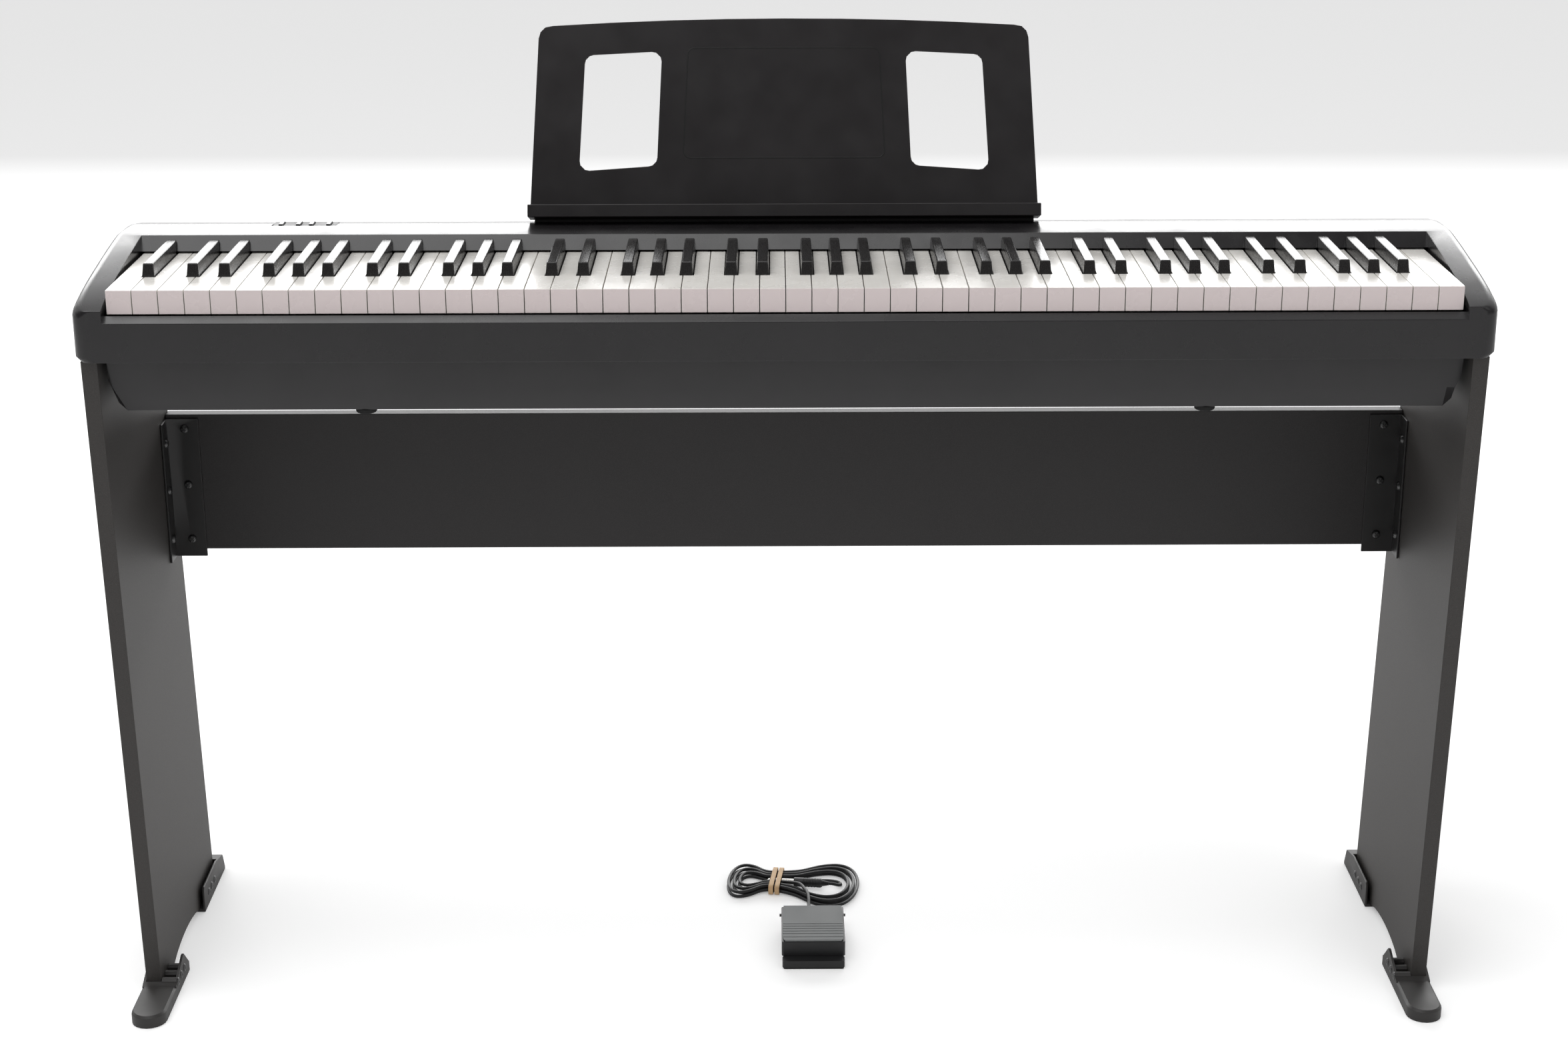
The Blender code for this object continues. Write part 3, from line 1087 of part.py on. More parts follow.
plug_axis = hank_frame(-1.0, 0.0, 0.0) - hank_frame(0.0, 0.0, 0.0)
plug_axis = Vector((plug_axis[0], plug_axis[1], 0.0)).normalized()
plug_back = hank_frame(plug_tail_a, 0.0, plug_z)
neck = PLUG_TAIL_L + PLUG_L
plug_profile = ((0, CORD_D * 0.62), (PLUG_TAIL_L, PLUG_R * 0.72), (PLUG_TAIL_L + 0.002, PLUG_R),
                (neck - 0.001, PLUG_R), (neck, PLUG_R * 0.9), (neck + 0.0001, SHANK_R),
                (neck + SHANK_L * 0.78, SHANK_R), (neck + SHANK_L * 0.84, SHANK_R * 0.62),
                (neck + SHANK_L * 0.90, SHANK_R * 0.95), (neck + SHANK_L, SHANK_R * 0.35))
plug = turned(plug_back, plug_axis, plug_profile, 12)
add("pedal_plug", plug, (0.02, 0.02, 0.02), 0.4, smooth=True)

# Two rubber bands round the waist
band_half = WAIST_GAP + WAIST_STEP * HANK_LOOPS + CORD_D / 2 + 0.0030
band_low = CORD_FLOOR + WAIST_LIFT * 0.93 - CORD_D / 2 - 0.0006
band_high = CORD_FLOOR + WAIST_LIFT + LAYER_STEP + CORD_D / 2 + 0.0013
mid_z = (band_low + band_high) / 2
rise = (band_high - band_low) / 2
for side, label in ((-1, "left"), (1, "right")):
    rings = []
    for out, edge_side in ((0.0, -1), (0.0, 1), (BAND_T, 1), (BAND_T, -1)):
        ring = []
        for i in range(BAND_SIDES):
            t = 2 * math.pi * i / BAND_SIDES
            reach = band_half + 0.0012 + out
            tall = rise + out
            squash = 0.34
            b = reach * math.copysign(abs(math.cos(t)) ** squash, math.cos(t))
            z = tall * math.copysign(abs(math.sin(t)) ** squash, math.sin(t))
            a = side * BAND_PITCH / 2 + edge_side * BAND_W / 2
            ring.append(hank_frame(a, b, mid_z + z))
        rings.append(ring)
    bm = bmesh.new()
    loops = [[bm.verts.new(p) for p in ring] for ring in rings]
    for a_ring, b_ring in zip(loops, loops[1:] + loops[:1]):
        for i in range(BAND_SIDES):
            j = (i + 1) % BAND_SIDES
            bm.faces.new((a_ring[i], a_ring[j], b_ring[j], b_ring[i]))
    add("rubber_band_" + label, bm, (0.72, 0.50, 0.30), 0.7)
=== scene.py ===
"""Dressed digital piano on its stand, with the pedal and its cord, on a pale studio floor."""
import json
import math

import bmesh
import bpy
from mathutils import Matrix, Vector


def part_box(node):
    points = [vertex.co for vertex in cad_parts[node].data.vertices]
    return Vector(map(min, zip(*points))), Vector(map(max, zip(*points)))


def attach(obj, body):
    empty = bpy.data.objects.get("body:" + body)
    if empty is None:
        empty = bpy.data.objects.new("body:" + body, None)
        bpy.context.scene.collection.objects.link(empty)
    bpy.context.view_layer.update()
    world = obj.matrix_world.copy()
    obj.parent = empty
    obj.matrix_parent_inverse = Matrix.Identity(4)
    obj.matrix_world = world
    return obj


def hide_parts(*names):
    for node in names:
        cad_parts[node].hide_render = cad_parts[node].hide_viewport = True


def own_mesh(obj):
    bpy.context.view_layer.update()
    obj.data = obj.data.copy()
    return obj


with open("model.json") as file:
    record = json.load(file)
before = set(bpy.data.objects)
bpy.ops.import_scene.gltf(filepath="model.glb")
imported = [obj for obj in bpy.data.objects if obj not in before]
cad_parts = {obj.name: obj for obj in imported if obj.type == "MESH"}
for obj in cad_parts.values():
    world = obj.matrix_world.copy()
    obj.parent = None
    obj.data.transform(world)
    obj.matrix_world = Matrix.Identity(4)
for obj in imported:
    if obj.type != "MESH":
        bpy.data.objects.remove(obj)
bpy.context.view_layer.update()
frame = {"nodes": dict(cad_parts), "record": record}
NODES = frame["nodes"]
BODY_OF = {n: b for b, members in frame["record"]["behaviour"]["bodies"].items() for n in members}

# Camera at the photograph's place
YAW, PITCH, ROLL = (math.radians(a) for a in (0.283, 18.186, 0.128))
forward = Vector((math.sin(YAW) * math.cos(PITCH), math.cos(YAW) * math.cos(PITCH), -math.sin(PITCH)))
level = Vector((math.cos(YAW), -math.sin(YAW), 0.0))
down = forward.cross(level)
right = level * math.cos(ROLL) + down * math.sin(ROLL)
down = down * math.cos(ROLL) - level * math.sin(ROLL)
lens = bpy.data.cameras.new("photo_camera")
lens.sensor_width = 36.0
lens.lens = 36.0 * 3953.6 / 2352
lens.clip_end = 60
camera = bpy.data.objects.new("photo_camera", lens)
bpy.context.scene.collection.objects.link(camera)
camera.matrix_world = Matrix(((right.x, -down.x, -forward.x, -0.0135),
                              (right.y, -down.y, -forward.y, -2.4656),
                              (right.z, -down.z, -forward.z, 1.2676), (0, 0, 0, 1)))
bpy.context.scene.camera = camera

FRONT_Y = -0.162


def y_at(depth):
    return FRONT_Y + depth


# Materials
class Nodes:
    """Short hands for building a shader."""

    def __init__(self, name, colour, rough, metallic=0.0, specular=0.5, coat=0.0, coat_rough=0.1):
        self.mat = bpy.data.materials.new(name)
        self.mat.use_nodes = True
        self.tree = self.mat.node_tree
        self.shader = self.tree.nodes["Principled BSDF"]
        self.shader.inputs["Base Color"].default_value = (*colour, 1)
        self.shader.inputs["Roughness"].default_value = rough
        self.shader.inputs["Metallic"].default_value = metallic
        self.shader.inputs["Specular IOR Level"].default_value = specular
        self.shader.inputs["Coat Weight"].default_value = coat
        self.shader.inputs["Coat Roughness"].default_value = coat_rough
        self.coords = self.tree.nodes.new("ShaderNodeTexCoord")

    def put(self, kind, **settings):
        node = self.tree.nodes.new(kind)
        for key, value in settings.items():
            setattr(node, key, value)
        return node

    def wire(self, a, b):
        self.tree.links.new(a, b)

    def mapped(self, stretch):
        node = self.put("ShaderNodeMapping")
        node.inputs["Scale"].default_value = stretch
        self.wire(self.coords.outputs["Object"], node.inputs["Vector"])
        return node.outputs["Vector"]

    def noise(self, scale, stretch=(1, 1, 1), detail=3.0, rough=0.55):
        node = self.put("ShaderNodeTexNoise")
        node.inputs["Scale"].default_value = scale
        node.inputs["Detail"].default_value = detail
        node.inputs["Roughness"].default_value = rough
        self.wire(self.mapped(stretch), node.inputs["Vector"])
        return node.outputs["Fac"]

    def spread(self, value, low, high, to_low, to_high):
        node = self.put("ShaderNodeMapRange")
        node.inputs["From Min"].default_value = low
        node.inputs["From Max"].default_value = high
        node.inputs["To Min"].default_value = to_low
        node.inputs["To Max"].default_value = to_high
        self.wire(value, node.inputs["Value"])
        return node.outputs["Result"]

    def blend(self, factor, a, b):
        node = self.put("ShaderNodeMix", data_type='RGBA')
        for socket, value in ((node.inputs[6], a), (node.inputs[7], b)):
            if isinstance(value, tuple):
                socket.default_value = (*value, 1)
            else:
                self.wire(value, socket)
        self.wire(factor, node.inputs[0])
        return node.outputs[2]

    def colour(self, value):
        self.wire(value, self.shader.inputs["Base Color"])

    def rough(self, value):
        self.wire(value, self.shader.inputs["Roughness"])

    def bump(self, heights, strength, distance):
        last = None
        for height in heights:
            node = self.put("ShaderNodeBump")
            node.inputs["Strength"].default_value = strength
            node.inputs["Distance"].default_value = distance
            self.wire(height, node.inputs["Height"])
            if last is not None:
                self.wire(last, node.inputs["Normal"])
            last = node.outputs["Normal"]
        self.wire(last, self.shader.inputs["Normal"])


def shade(colour, by):
    return tuple(min(1.0, c * by) for c in colour)


def moulded(name, colour, rough, grain=1400, depth=0.00003, strength=0.35, vary=0.10, metallic=0.0,
            specular=0.5, stretch=(1, 1, 1), rough_vary=0.06, coat=0.0, broad=7.0):
    """Moulded or coated surface: fine grain, faint mottling and handling marks in the gloss."""
    n = Nodes(name, colour, rough, metallic, specular, coat)
    cloud = n.noise(broad, detail=4)
    n.colour(n.blend(n.spread(cloud, 0.3, 0.7, 0, 1), shade(colour, 1 - vary), shade(colour, 1 + vary)))
    smear = n.noise(broad * 4, detail=5)
    n.rough(n.spread(smear, 0.3, 0.7, rough - rough_vary, rough + rough_vary))
    n.bump([n.noise(grain, stretch, 2.0)], strength, depth)
    return n.mat


case_black = moulded("case_black", (0.0125, 0.0115, 0.0125), 0.27, 1700, 0.00002, 0.30, coat=0.15)
lower_black = moulded("lower_black", (0.017, 0.016, 0.017), 0.40, 1300, 0.00004, 0.4)
rest_black = moulded("rest_black", (0.017, 0.015, 0.016), 0.36, 1500, 0.00003, 0.4)
shoe_black = moulded("shoe_black", (0.028, 0.026, 0.025), 0.48, 1100, 0.00005, 0.5)
pedal_black = moulded("pedal_black", (0.014, 0.014, 0.015), 0.42, 1200, 0.00004, 0.5)
sole_rubber = moulded("sole_rubber", (0.016, 0.016, 0.016), 0.85, 900, 0.00008, 0.6, specular=0.3)
pad_rubber = moulded("pad_rubber", (0.175, 0.182, 0.182), 0.62, 1600, 0.00006, 0.5, specular=0.35)
# dark rubber for the strips in the pad's grooves: painted shade
groove_rubber = moulded("groove_rubber", (0.045, 0.048, 0.05), 0.7, 1600, 0.00006, 0.5, specular=0.3)
steel_black = moulded("steel_black", (0.026, 0.025, 0.025), 0.38, 1500, 0.00003, 0.4, metallic=0.35)
screw_metal = moulded("screw_metal", (0.10, 0.10, 0.10), 0.33, 2500, 0.00002, 0.3, metallic=0.9)
zinc = moulded("zinc", (0.55, 0.56, 0.57), 0.34, 260, 0.00004, 0.3, metallic=1.0, stretch=(0.2, 4, 4))
spring_steel = moulded("spring_steel", (0.5, 0.5, 0.5), 0.28, 900, 0.00002, 0.3, metallic=1.0)
plate_black = moulded("plate_black", (0.009, 0.009, 0.010), 0.45, 2000, 0.00002, 0.3)
jack_black = moulded("jack_black", (0.014, 0.014, 0.014), 0.5, 1200, 0.00005, 0.5)
cord_black = moulded("cord_black", (0.013, 0.013, 0.014), 0.40, 2200, 0.00004, 0.5)
plug_black = moulded("plug_black", (0.016, 0.016, 0.017), 0.38, 1800, 0.00004, 0.5)
plug_metal = moulded("plug_metal", (0.66, 0.65, 0.62), 0.2, 2200, 0.00001, 0.2, metallic=1.0)
speaker_black = moulded("speaker_black", (0.03, 0.03, 0.031), 0.6, 700, 0.0001, 0.6)


def laminate(name, base, rough):
    """Dark foil over board with a fine, even speckle pressed into it."""
    n = Nodes(name, base, rough, specular=0.4)
    speckle = n.noise(1500, detail=2, rough=0.6)
    cloud = n.noise(11, detail=4)
    tone = n.blend(n.spread(cloud, 0.3, 0.7, 0, 1), shade(base, 0.93), shade(base, 1.07))
    n.colour(n.blend(n.spread(speckle, 0.42, 0.62, 0, 1), tone, shade(base, 1.45)))
    n.rough(n.spread(speckle, 0.3, 0.7, rough - 0.07, rough + 0.07))
    n.bump([speckle], 0.4, 0.00004)
    return n.mat


def ivory():
    """Off-white key plastic with faint streaks along the key; its front faces get a darker, pinker colour by their
    facing, which is painted shade.
    """
    top, streak, front = (0.86, 0.84, 0.80), (0.845, 0.82, 0.775), (0.72, 0.63, 0.625)
    n = Nodes("key_ivory", top, 0.24, specular=0.5, coat=0.2, coat_rough=0.08)
    lines = n.noise(60, (8, 0.6, 1), 4)
    surface = n.blend(n.spread(lines, 0.35, 0.65, 0, 1), top, streak)
    split = n.put("ShaderNodeSeparateXYZ")
    n.wire(n.coords.outputs["Normal"], split.inputs[0])
    # painted shade: faces turned towards the front take the darker, pinker colour, picked by the normal
    n.colour(n.blend(n.spread(split.outputs["Y"], -0.4, -0.95, 0, 1), surface, front))
    n.rough(n.spread(n.noise(35, detail=5), 0.3, 0.7, 0.20, 0.33))
    n.bump([n.noise(900, (1, 0.4, 1))], 0.15, 0.00002)
    return n.mat


def ebony():
    """Black key plastic with a satin, faintly streaked surface."""
    base = (0.016, 0.015, 0.015)
    n = Nodes("key_ebony", base, 0.26, specular=0.5)
    lines = n.noise(180, (7, 0.35, 3), 5)
    n.colour(n.blend(n.spread(lines, 0.35, 0.65, 0, 1), shade(base, 0.8), shade(base, 1.25)))
    n.rough(n.spread(n.noise(240, (6, 0.4, 3), 4), 0.3, 0.7, 0.20, 0.33))
    n.bump([lines], 0.25, 0.00003)
    return n.mat


def button_shell():
    """Painted light: the pale upward faces stand for the glint on the button tops, and the dark sides and ends
    stand for their shade.
    """
    pale, side_shade = (0.78, 0.78, 0.78), (0.035, 0.035, 0.037)
    n = Nodes("button_shell", pale, 0.3, coat=0.1)
    split = n.put("ShaderNodeSeparateXYZ")
    n.wire(n.coords.outputs["Normal"], split.inputs[0])
    cloud = n.blend(n.spread(n.noise(160, detail=4), 0.3, 0.7, 0, 1), shade(pale, 0.94), pale)
    # painted highlight on the upward faces and painted shade on the sides and ends, picked by the normal's Z
    n.colour(n.blend(n.spread(split.outputs["Z"], 0.55, 0.8, 0, 1), side_shade, cloud))
    n.bump([n.noise(2000)], 0.2, 0.00002)
    return n.mat


def felt():
    base = (0.33, 0.02, 0.025)
    n = Nodes("red_felt", base, 0.95, specular=0.1)
    n.shader.inputs["Sheen Weight"].default_value = 0.5
    fuzz = n.noise(900, (1, 3, 1), 6, 0.8)
    n.colour(n.blend(fuzz, shade(base, 0.6), shade(base, 1.4)))
    n.bump([fuzz], 0.8, 0.0004)
    return n.mat


def circuit():
    """Green lacquer over copper tracks, with a few pale marks."""
    n = Nodes("circuit_board", (0.02, 0.13, 0.05), 0.35, coat=0.3)
    tracks = n.put("ShaderNodeTexBrick", offset=0.35, squash=1.6, squash_frequency=3)
    tracks.inputs["Scale"].default_value = 90
    tracks.inputs["Color1"].default_value = (0.015, 0.12, 0.045, 1)
    tracks.inputs["Color2"].default_value = (0.02, 0.15, 0.06, 1)
    tracks.inputs["Mortar"].default_value = (0.10, 0.26, 0.09, 1)
    n.wire(n.coords.outputs["Object"], tracks.inputs["Vector"])
    n.colour(n.blend(n.spread(n.noise(300), 0.62, 0.68, 0, 1), tracks.outputs["Color"], (0.55, 0.5, 0.3)))
    n.bump([tracks.outputs["Fac"]], 0.3, 0.0001)
    return n.mat


def band_rubber():
    base = (0.60, 0.40, 0.22)
    n = Nodes("band_rubber", base, 0.55, specular=0.4)
    n.shader.inputs["Subsurface Weight"].default_value = 0.15
    n.shader.inputs["Subsurface Radius"].default_value = (0.003, 0.0015, 0.0008)
    n.colour(n.blend(n.noise(220, detail=5), shade(base, 0.82), shade(base, 1.2)))
    n.rough(n.spread(n.noise(500), 0.3, 0.7, 0.45, 0.65))
    n.bump([n.noise(700, (1, 5, 5))], 0.4, 0.0001)
    return n.mat


board_foil = laminate("board_laminate", (0.036, 0.033, 0.031), 0.52)
# painted shade: the cross panel takes a darker copy of the side panels' laminate
cross_foil_shaded = laminate("cross_laminate", (0.024, 0.022, 0.022), 0.50)
# the buttons get a painted highlight on top and painted shade on their sides
button_glint_shade = button_shell()
key_ivory, key_ebony, red_felt, circuit_green, band_tan = ivory(), ebony(), felt(), circuit(), band_rubber()


# Pieces
def place(name, mesh, material, body, *replaced, smooth_angle=35, flat=False):
    mesh.shade_smooth()
    mesh.set_sharp_from_angle(angle=math.radians(smooth_angle))
    ob = bpy.data.objects.new(name, mesh)
    bpy.context.scene.collection.objects.link(ob)
    mesh.materials.append(material)
    if flat:
        even = ob.modifiers.new("even_shading", 'WEIGHTED_NORMAL')
        even.mode = 'FACE_AREA'
        even.keep_sharp = True
    if replaced:
        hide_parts(*replaced)
    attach(ob, body)
    return ob


def dressed(node, material, width, segments=2, pick=None, angle=30, suffix="_dressed"):
    """The CAD solid again with its sharp outer edges rounded and its long curves shaded smooth."""
    bm = bmesh.new()
    bm.from_mesh(NODES[node].data)
    bmesh.ops.remove_doubles(bm, verts=bm.verts[:], dist=0.00001)
    bmesh.ops.dissolve_limit(bm, angle_limit=math.radians(0.7), verts=bm.verts[:], edges=bm.edges[:])
    edges = []
    for e in bm.edges:
        if len(e.link_faces) != 2 or e.calc_face_angle_signed(0.0) < math.radians(angle):
            continue
        if pick is None or pick((e.verts[0].co + e.verts[1].co) / 2, e):
            edges.append(e)
    if edges and width:
        bmesh.ops.bevel(bm, geom=edges, offset=width, segments=segments, profile=0.5, affect='EDGES',
                        clamp_overlap=True)
    bmesh.ops.recalc_face_normals(bm, faces=bm.faces[:])
    mesh = bpy.data.meshes.new(node + suffix)
    bm.to_mesh(mesh)
    bm.free()
    return place(node + suffix, mesh, material, BODY_OF[node], node, flat=True)


def new_mesh(name, verts, faces):
    mesh = bpy.data.meshes.new(name)
    mesh.from_pydata([tuple(v) for v in verts], [], faces)
    mesh.update()
    bm = bmesh.new()
    bm.from_mesh(mesh)
    bmesh.ops.recalc_face_normals(bm, faces=bm.faces[:])
    bm.to_mesh(mesh)
    bm.free()
    return mesh


def ring_mesh(name, rings, closed_ends=True):
    count = len(rings[0])
    verts = [p for ring in rings for p in ring]
    faces = []
    for r in range(len(rings) - 1):
        for i in range(count):
            j = (i + 1) % count
            faces.append((r * count + i, r * count + j, (r + 1) * count + j, (r + 1) * count + i))
    if closed_ends:
        faces.append(tuple(range(count))[::-1])
        faces.append(tuple((len(rings) - 1) * count + i for i in range(count)))
    return new_mesh(name, verts, faces)


def turned(name, centre, axis, profile, sides, star=()):
    """Round piece through (step, radius) rings; rings numbered in star are drawn in to a cross."""
    axis = Vector(axis).normalized()
    side_a = axis.orthogonal().normalized()
    side_b = axis.cross(side_a)
    rings = []
    for number, (step, radius) in enumerate(profile):
        ring = []
        for i in range(sides):
            t = 2 * math.pi * i / sides
            r = radius * (1.0 if abs(math.cos(2 * t)) > 0.6 else 0.34) if number in star else radius
            ring.append(Vector(centre) + axis * step + r * (math.cos(t) * side_a + math.sin(t) * side_b))
        rings.append(ring)
    return ring_mesh(name, rings)


# The pedal's cord, on the same route as the solid one
CORD_D, CORD_FLOOR = 0.0035, 0.0019
WAIST_X, WAIST_D, HANK_TURN = -0.0098, 0.291, math.radians(-7.0)
HANK_LOOPS, HANK_POINTS, LAYER_STEP = 2.5, 24, 0.0042
WAIST_GAP, WAIST_STEP, LOBE_STEP, BULGE_STEP, WAIST_LIFT = 0.0056, 0.0050, 0.0058, 0.0145, 0.0017
RIGHT_REACH, LEFT_REACH, RIGHT_BULGE, LEFT_BULGE, NECK = 0.0880, 0.0530, 0.094, 0.072, 0.009
PLUG_R, PLUG_L, SHANK_R, SHANK_L, PLUG_TAIL_L = 0.0050, 0.031, 0.0031, 0.029, 0.007
GLAND_X, GLAND_Z, GLAND_END_D = 0.0244, 0.0085, 0.2020


def hank_frame(a, b, z):
    c, s = math.cos(HANK_TURN), math.sin(HANK_TURN)
    return Vector((WAIST_X + a * c - b * s, y_at(WAIST_D) + a * s + b * c, z))


def hank_point(turns, ring, height):
    t = math.pi / 2 + 2 * math.pi * turns
    cos_t, sin_t = math.cos(t), math.sin(t)
    slack = HANK_LOOPS - ring
    reach = (RIGHT_REACH if cos_t > 0 else LEFT_REACH) - LOBE_STEP * slack
    bulge = (RIGHT_BULGE if cos_t > 0 else LEFT_BULGE) - BULGE_STEP * slack
    a = reach * cos_t
    opening = max(abs(a) - NECK, 0.0) / reach
    spread = math.sqrt(opening ** 2 + 0.01) - 0.1
    b = sin_t * (WAIST_GAP + WAIST_STEP * ring + bulge * spread)
    return a, b, height + WAIST_LIFT * math.exp(-(a / 0.026) ** 2)


def hank_line():
    total = 2 * HANK_LOOPS + 0.5
    steps = round(total * HANK_POINTS)
    points = []
    for i in range(steps + 1):
        turns = total * i / steps
        if turns <= HANK_LOOPS:
            ring, rise = turns, 0.0
        elif turns < HANK_LOOPS + 0.5:
            share = (turns - HANK_LOOPS) / 0.5
            ring, rise = HANK_LOOPS, share * share * (3 - 2 * share)
        else:
            ring, rise = total - turns, 1.0
        points.append(hank_point(turns, ring, CORD_FLOOR + LAYER_STEP * rise))
    return points


plug_z = CORD_FLOOR + WAIST_LIFT + 0.0024
plug_tail_a = 0.0190 + PLUG_L + PLUG_TAIL_L
tail_line = [(plug_tail_a + 0.0003, 0.0, plug_z), (plug_tail_a + 0.0040, 0.0, plug_z),
             (plug_tail_a + 0.0095, 0.0018, plug_z - 0.0020), (plug_tail_a + 0.0125, 0.0070, CORD_FLOOR),
             (plug_tail_a + 0.0095, 0.0125, CORD_FLOOR), (plug_tail_a + 0.0020, 0.0150, CORD_FLOOR),
             (plug_tail_a - 0.0100, 0.0146, CORD_FLOOR), (plug_tail_a - 0.0220, 0.0122, CORD_FLOOR + 0.0002),
             (plug_tail_a - 0.0330, 0.0090, CORD_FLOOR + 0.0006),
             (plug_tail_a - 0.0430, 0.0066, CORD_FLOOR + 0.0012)]
hank_path = [hank_frame(*p) for p in tail_line + hank_line()]
lead_direction = (hank_path[-1] - hank_path[-2]).normalized()
hank_path.append(hank_path[-1] + lead_direction * CORD_D * 1.4)
cross_z = CORD_FLOOR + LAYER_STEP + CORD_D + 0.0013
lead_route = [hank_path[-1] + lead_direction * CORD_D * 1.2,
              Vector((0.0140, y_at(0.2735), cross_z + 0.0006)), Vector((0.0200, y_at(0.2610), cross_z + 0.0010)),
              Vector((0.0236, y_at(0.2490), cross_z + 0.0008)), Vector((0.0245, y_at(0.2370), cross_z)),
              Vector((GLAND_X, y_at(0.2250), GLAND_Z + 0.0006)), Vector((GLAND_X, y_at(0.2150), GLAND_Z)),
              Vector((GLAND_X, y_at(GLAND_END_D), GLAND_Z))]


def smooth_line(points, spacing):
    """Points at an even spacing on a smooth curve through the route's own points."""
    knots = [2 * points[0] - points[1]] + points + [2 * points[-1] - points[-2]]
    fine = []
    for i in range(1, len(knots) - 2):
        p0, p1, p2, p3 = knots[i - 1:i + 3]
        for k in range(16):
            t = k / 16
            fine.append(0.5 * ((2 * p1) + (p2 - p0) * t + (2 * p0 - 5 * p1 + 4 * p2 - p3) * t ** 2
                               + (3 * p1 - p0 - 3 * p2 + p3) * t ** 3))
    fine.append(knots[-2])
    run = [0.0]
    for a, b in zip(fine, fine[1:]):
        run.append(run[-1] + (b - a).length)
    count = max(2, round(run[-1] / spacing))
    out, j = [], 0
    for i in range(count + 1):
        goal = run[-1] * i / count
        while j < len(run) - 2 and run[j + 1] < goal:
            j += 1
        out.append(fine[j].lerp(fine[j + 1], (goal - run[j]) / (run[j + 1] - run[j])))
    return out, run[-1]


cord_points, cord_length = smooth_line((hank_path + lead_route)[::-1], 0.0032)
curve = bpy.data.curves.new("pedal_cord", 'CURVE')
curve.dimensions = '3D'
curve.bevel_depth = CORD_D / 2
curve.bevel_resolution = 4
curve.use_fill_caps = True
spline = curve.splines.new('POLY')
spline.points.add(len(cord_points) - 1)
for slot, p in zip(spline.points, cord_points):
    slot.co = (*p, 1.0)
spline.use_smooth = True
curve.materials.append(cord_black)
cord = bpy.data.objects.new("pedal_cord", curve)
bpy.context.scene.collection.objects.link(cord)
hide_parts("pedal_cord_lead", "pedal_cord_hank")
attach(cord, "instrument")

plug_axis = hank_frame(-1.0, 0.0, 0.0) - hank_frame(0.0, 0.0, 0.0)
plug_back = hank_frame(plug_tail_a, 0.0, plug_z)
neck = PLUG_TAIL_L + PLUG_L
grip = [(0, CORD_D * 0.60)]
for k in range(6):
    grip += [(0.0004 + k * 0.0011, PLUG_R * (0.46 + k * 0.045)), (0.0009 + k * 0.0011, PLUG_R * (0.40 + k * 0.045))]
grip += [(PLUG_TAIL_L, PLUG_R * 0.74), (PLUG_TAIL_L + 0.0012, PLUG_R * 0.95), (PLUG_TAIL_L + 0.0020, PLUG_R)]
for k in range(5):
    at = PLUG_TAIL_L + 0.006 + k * 0.0032
    grip += [(at, PLUG_R), (at + 0.0003, PLUG_R * 0.93), (at + 0.0010, PLUG_R * 0.93), (at + 0.0013, PLUG_R)]
grip += [(neck - 0.0010, PLUG_R), (neck - 0.0002, PLUG_R * 0.93), (neck, PLUG_R * 0.80)]
plug_body = place("plug_body", turned("plug_body", plug_back, plug_axis, grip, 32), plug_black,
                  "instrument", "pedal_plug")
tip = [(neck - 0.0002, SHANK_R), (neck + SHANK_L * 0.28, SHANK_R), (neck + SHANK_L * 0.285, SHANK_R * 0.96),
       (neck + SHANK_L * 0.33, SHANK_R * 0.96), (neck + SHANK_L * 0.335, SHANK_R),
       (neck + SHANK_L * 0.70, SHANK_R), (neck + SHANK_L * 0.705, SHANK_R * 0.95),
       (neck + SHANK_L * 0.75, SHANK_R * 0.95), (neck + SHANK_L * 0.755, SHANK_R),
       (neck + SHANK_L * 0.80, SHANK_R * 0.98), (neck + SHANK_L * 0.85, SHANK_R * 0.64),
       (neck + SHANK_L * 0.90, SHANK_R * 0.93), (neck + SHANK_L * 0.96, SHANK_R * 0.72),
       (neck + SHANK_L, SHANK_R * 0.30)]
plug_tip = place("plug_tip", turned("plug_tip", plug_back, plug_axis, tip, 32), plug_metal, "instrument")
bands = [dressed("rubber_band_" + s, band_tan, 0.00025, 1) for s in ("left", "right")]


# Case
KEY_TOP_Z, FELT_Z = 0.729, 0.7435
dressed("upper_case", case_black, 0.0009, 3, angle=40)
dressed("lower_case", lower_black, 0.0012, 2, angle=20)
dressed("music_rest", rest_black, 0.0008, 3, angle=40)
dressed("button_plate", plate_black, 0.0003, 1)
dressed("jack_plate", jack_black, 0.0004, 1)
for number in range(1, 5):
    dressed("button_%d" % number, button_glint_shade, 0.0003, 2)
for node in NODES:
    if node.startswith("case_foot"):
        dressed(node, sole_rubber, 0.0004, 2)

# Rest: the shallow outline that frames its middle, from the same leaning plane
LEAN = math.radians(17.4)


def rest_point(x, u, v):
    return Vector((x, y_at(0.235) + u * math.sin(LEAN) - v * math.cos(LEAN),
                   0.7455 + u * math.cos(LEAN) + v * math.sin(LEAN)))


def strip(name, line, half, proud, material, body, point):
    """Slim raised line along (x, u) points, closed into a loop."""
    count = len(line)
    rings = []
    for k, (x, u) in enumerate(line):
        ahead, behind = Vector(line[(k + 1) % count]), Vector(line[k - 1])
        along = (ahead - behind).normalized()
        side = Vector((-along.y, along.x))
        rings.append([point(x + side.x * s * half, u + side.y * s * half, v)
                      for s, v in ((-1, -0.0001), (-0.6, proud), (0.6, proud), (1, -0.0001))])
    verts = [p for ring in rings for p in ring]
    faces = []
    for r in range(count):
        q = (r + 1) % count
        for i in range(4):
            j = (i + 1) % 4
            faces.append((r * 4 + i, r * 4 + j, q * 4 + j, q * 4 + i))
    return place(name, new_mesh(name, verts, faces), material, body)


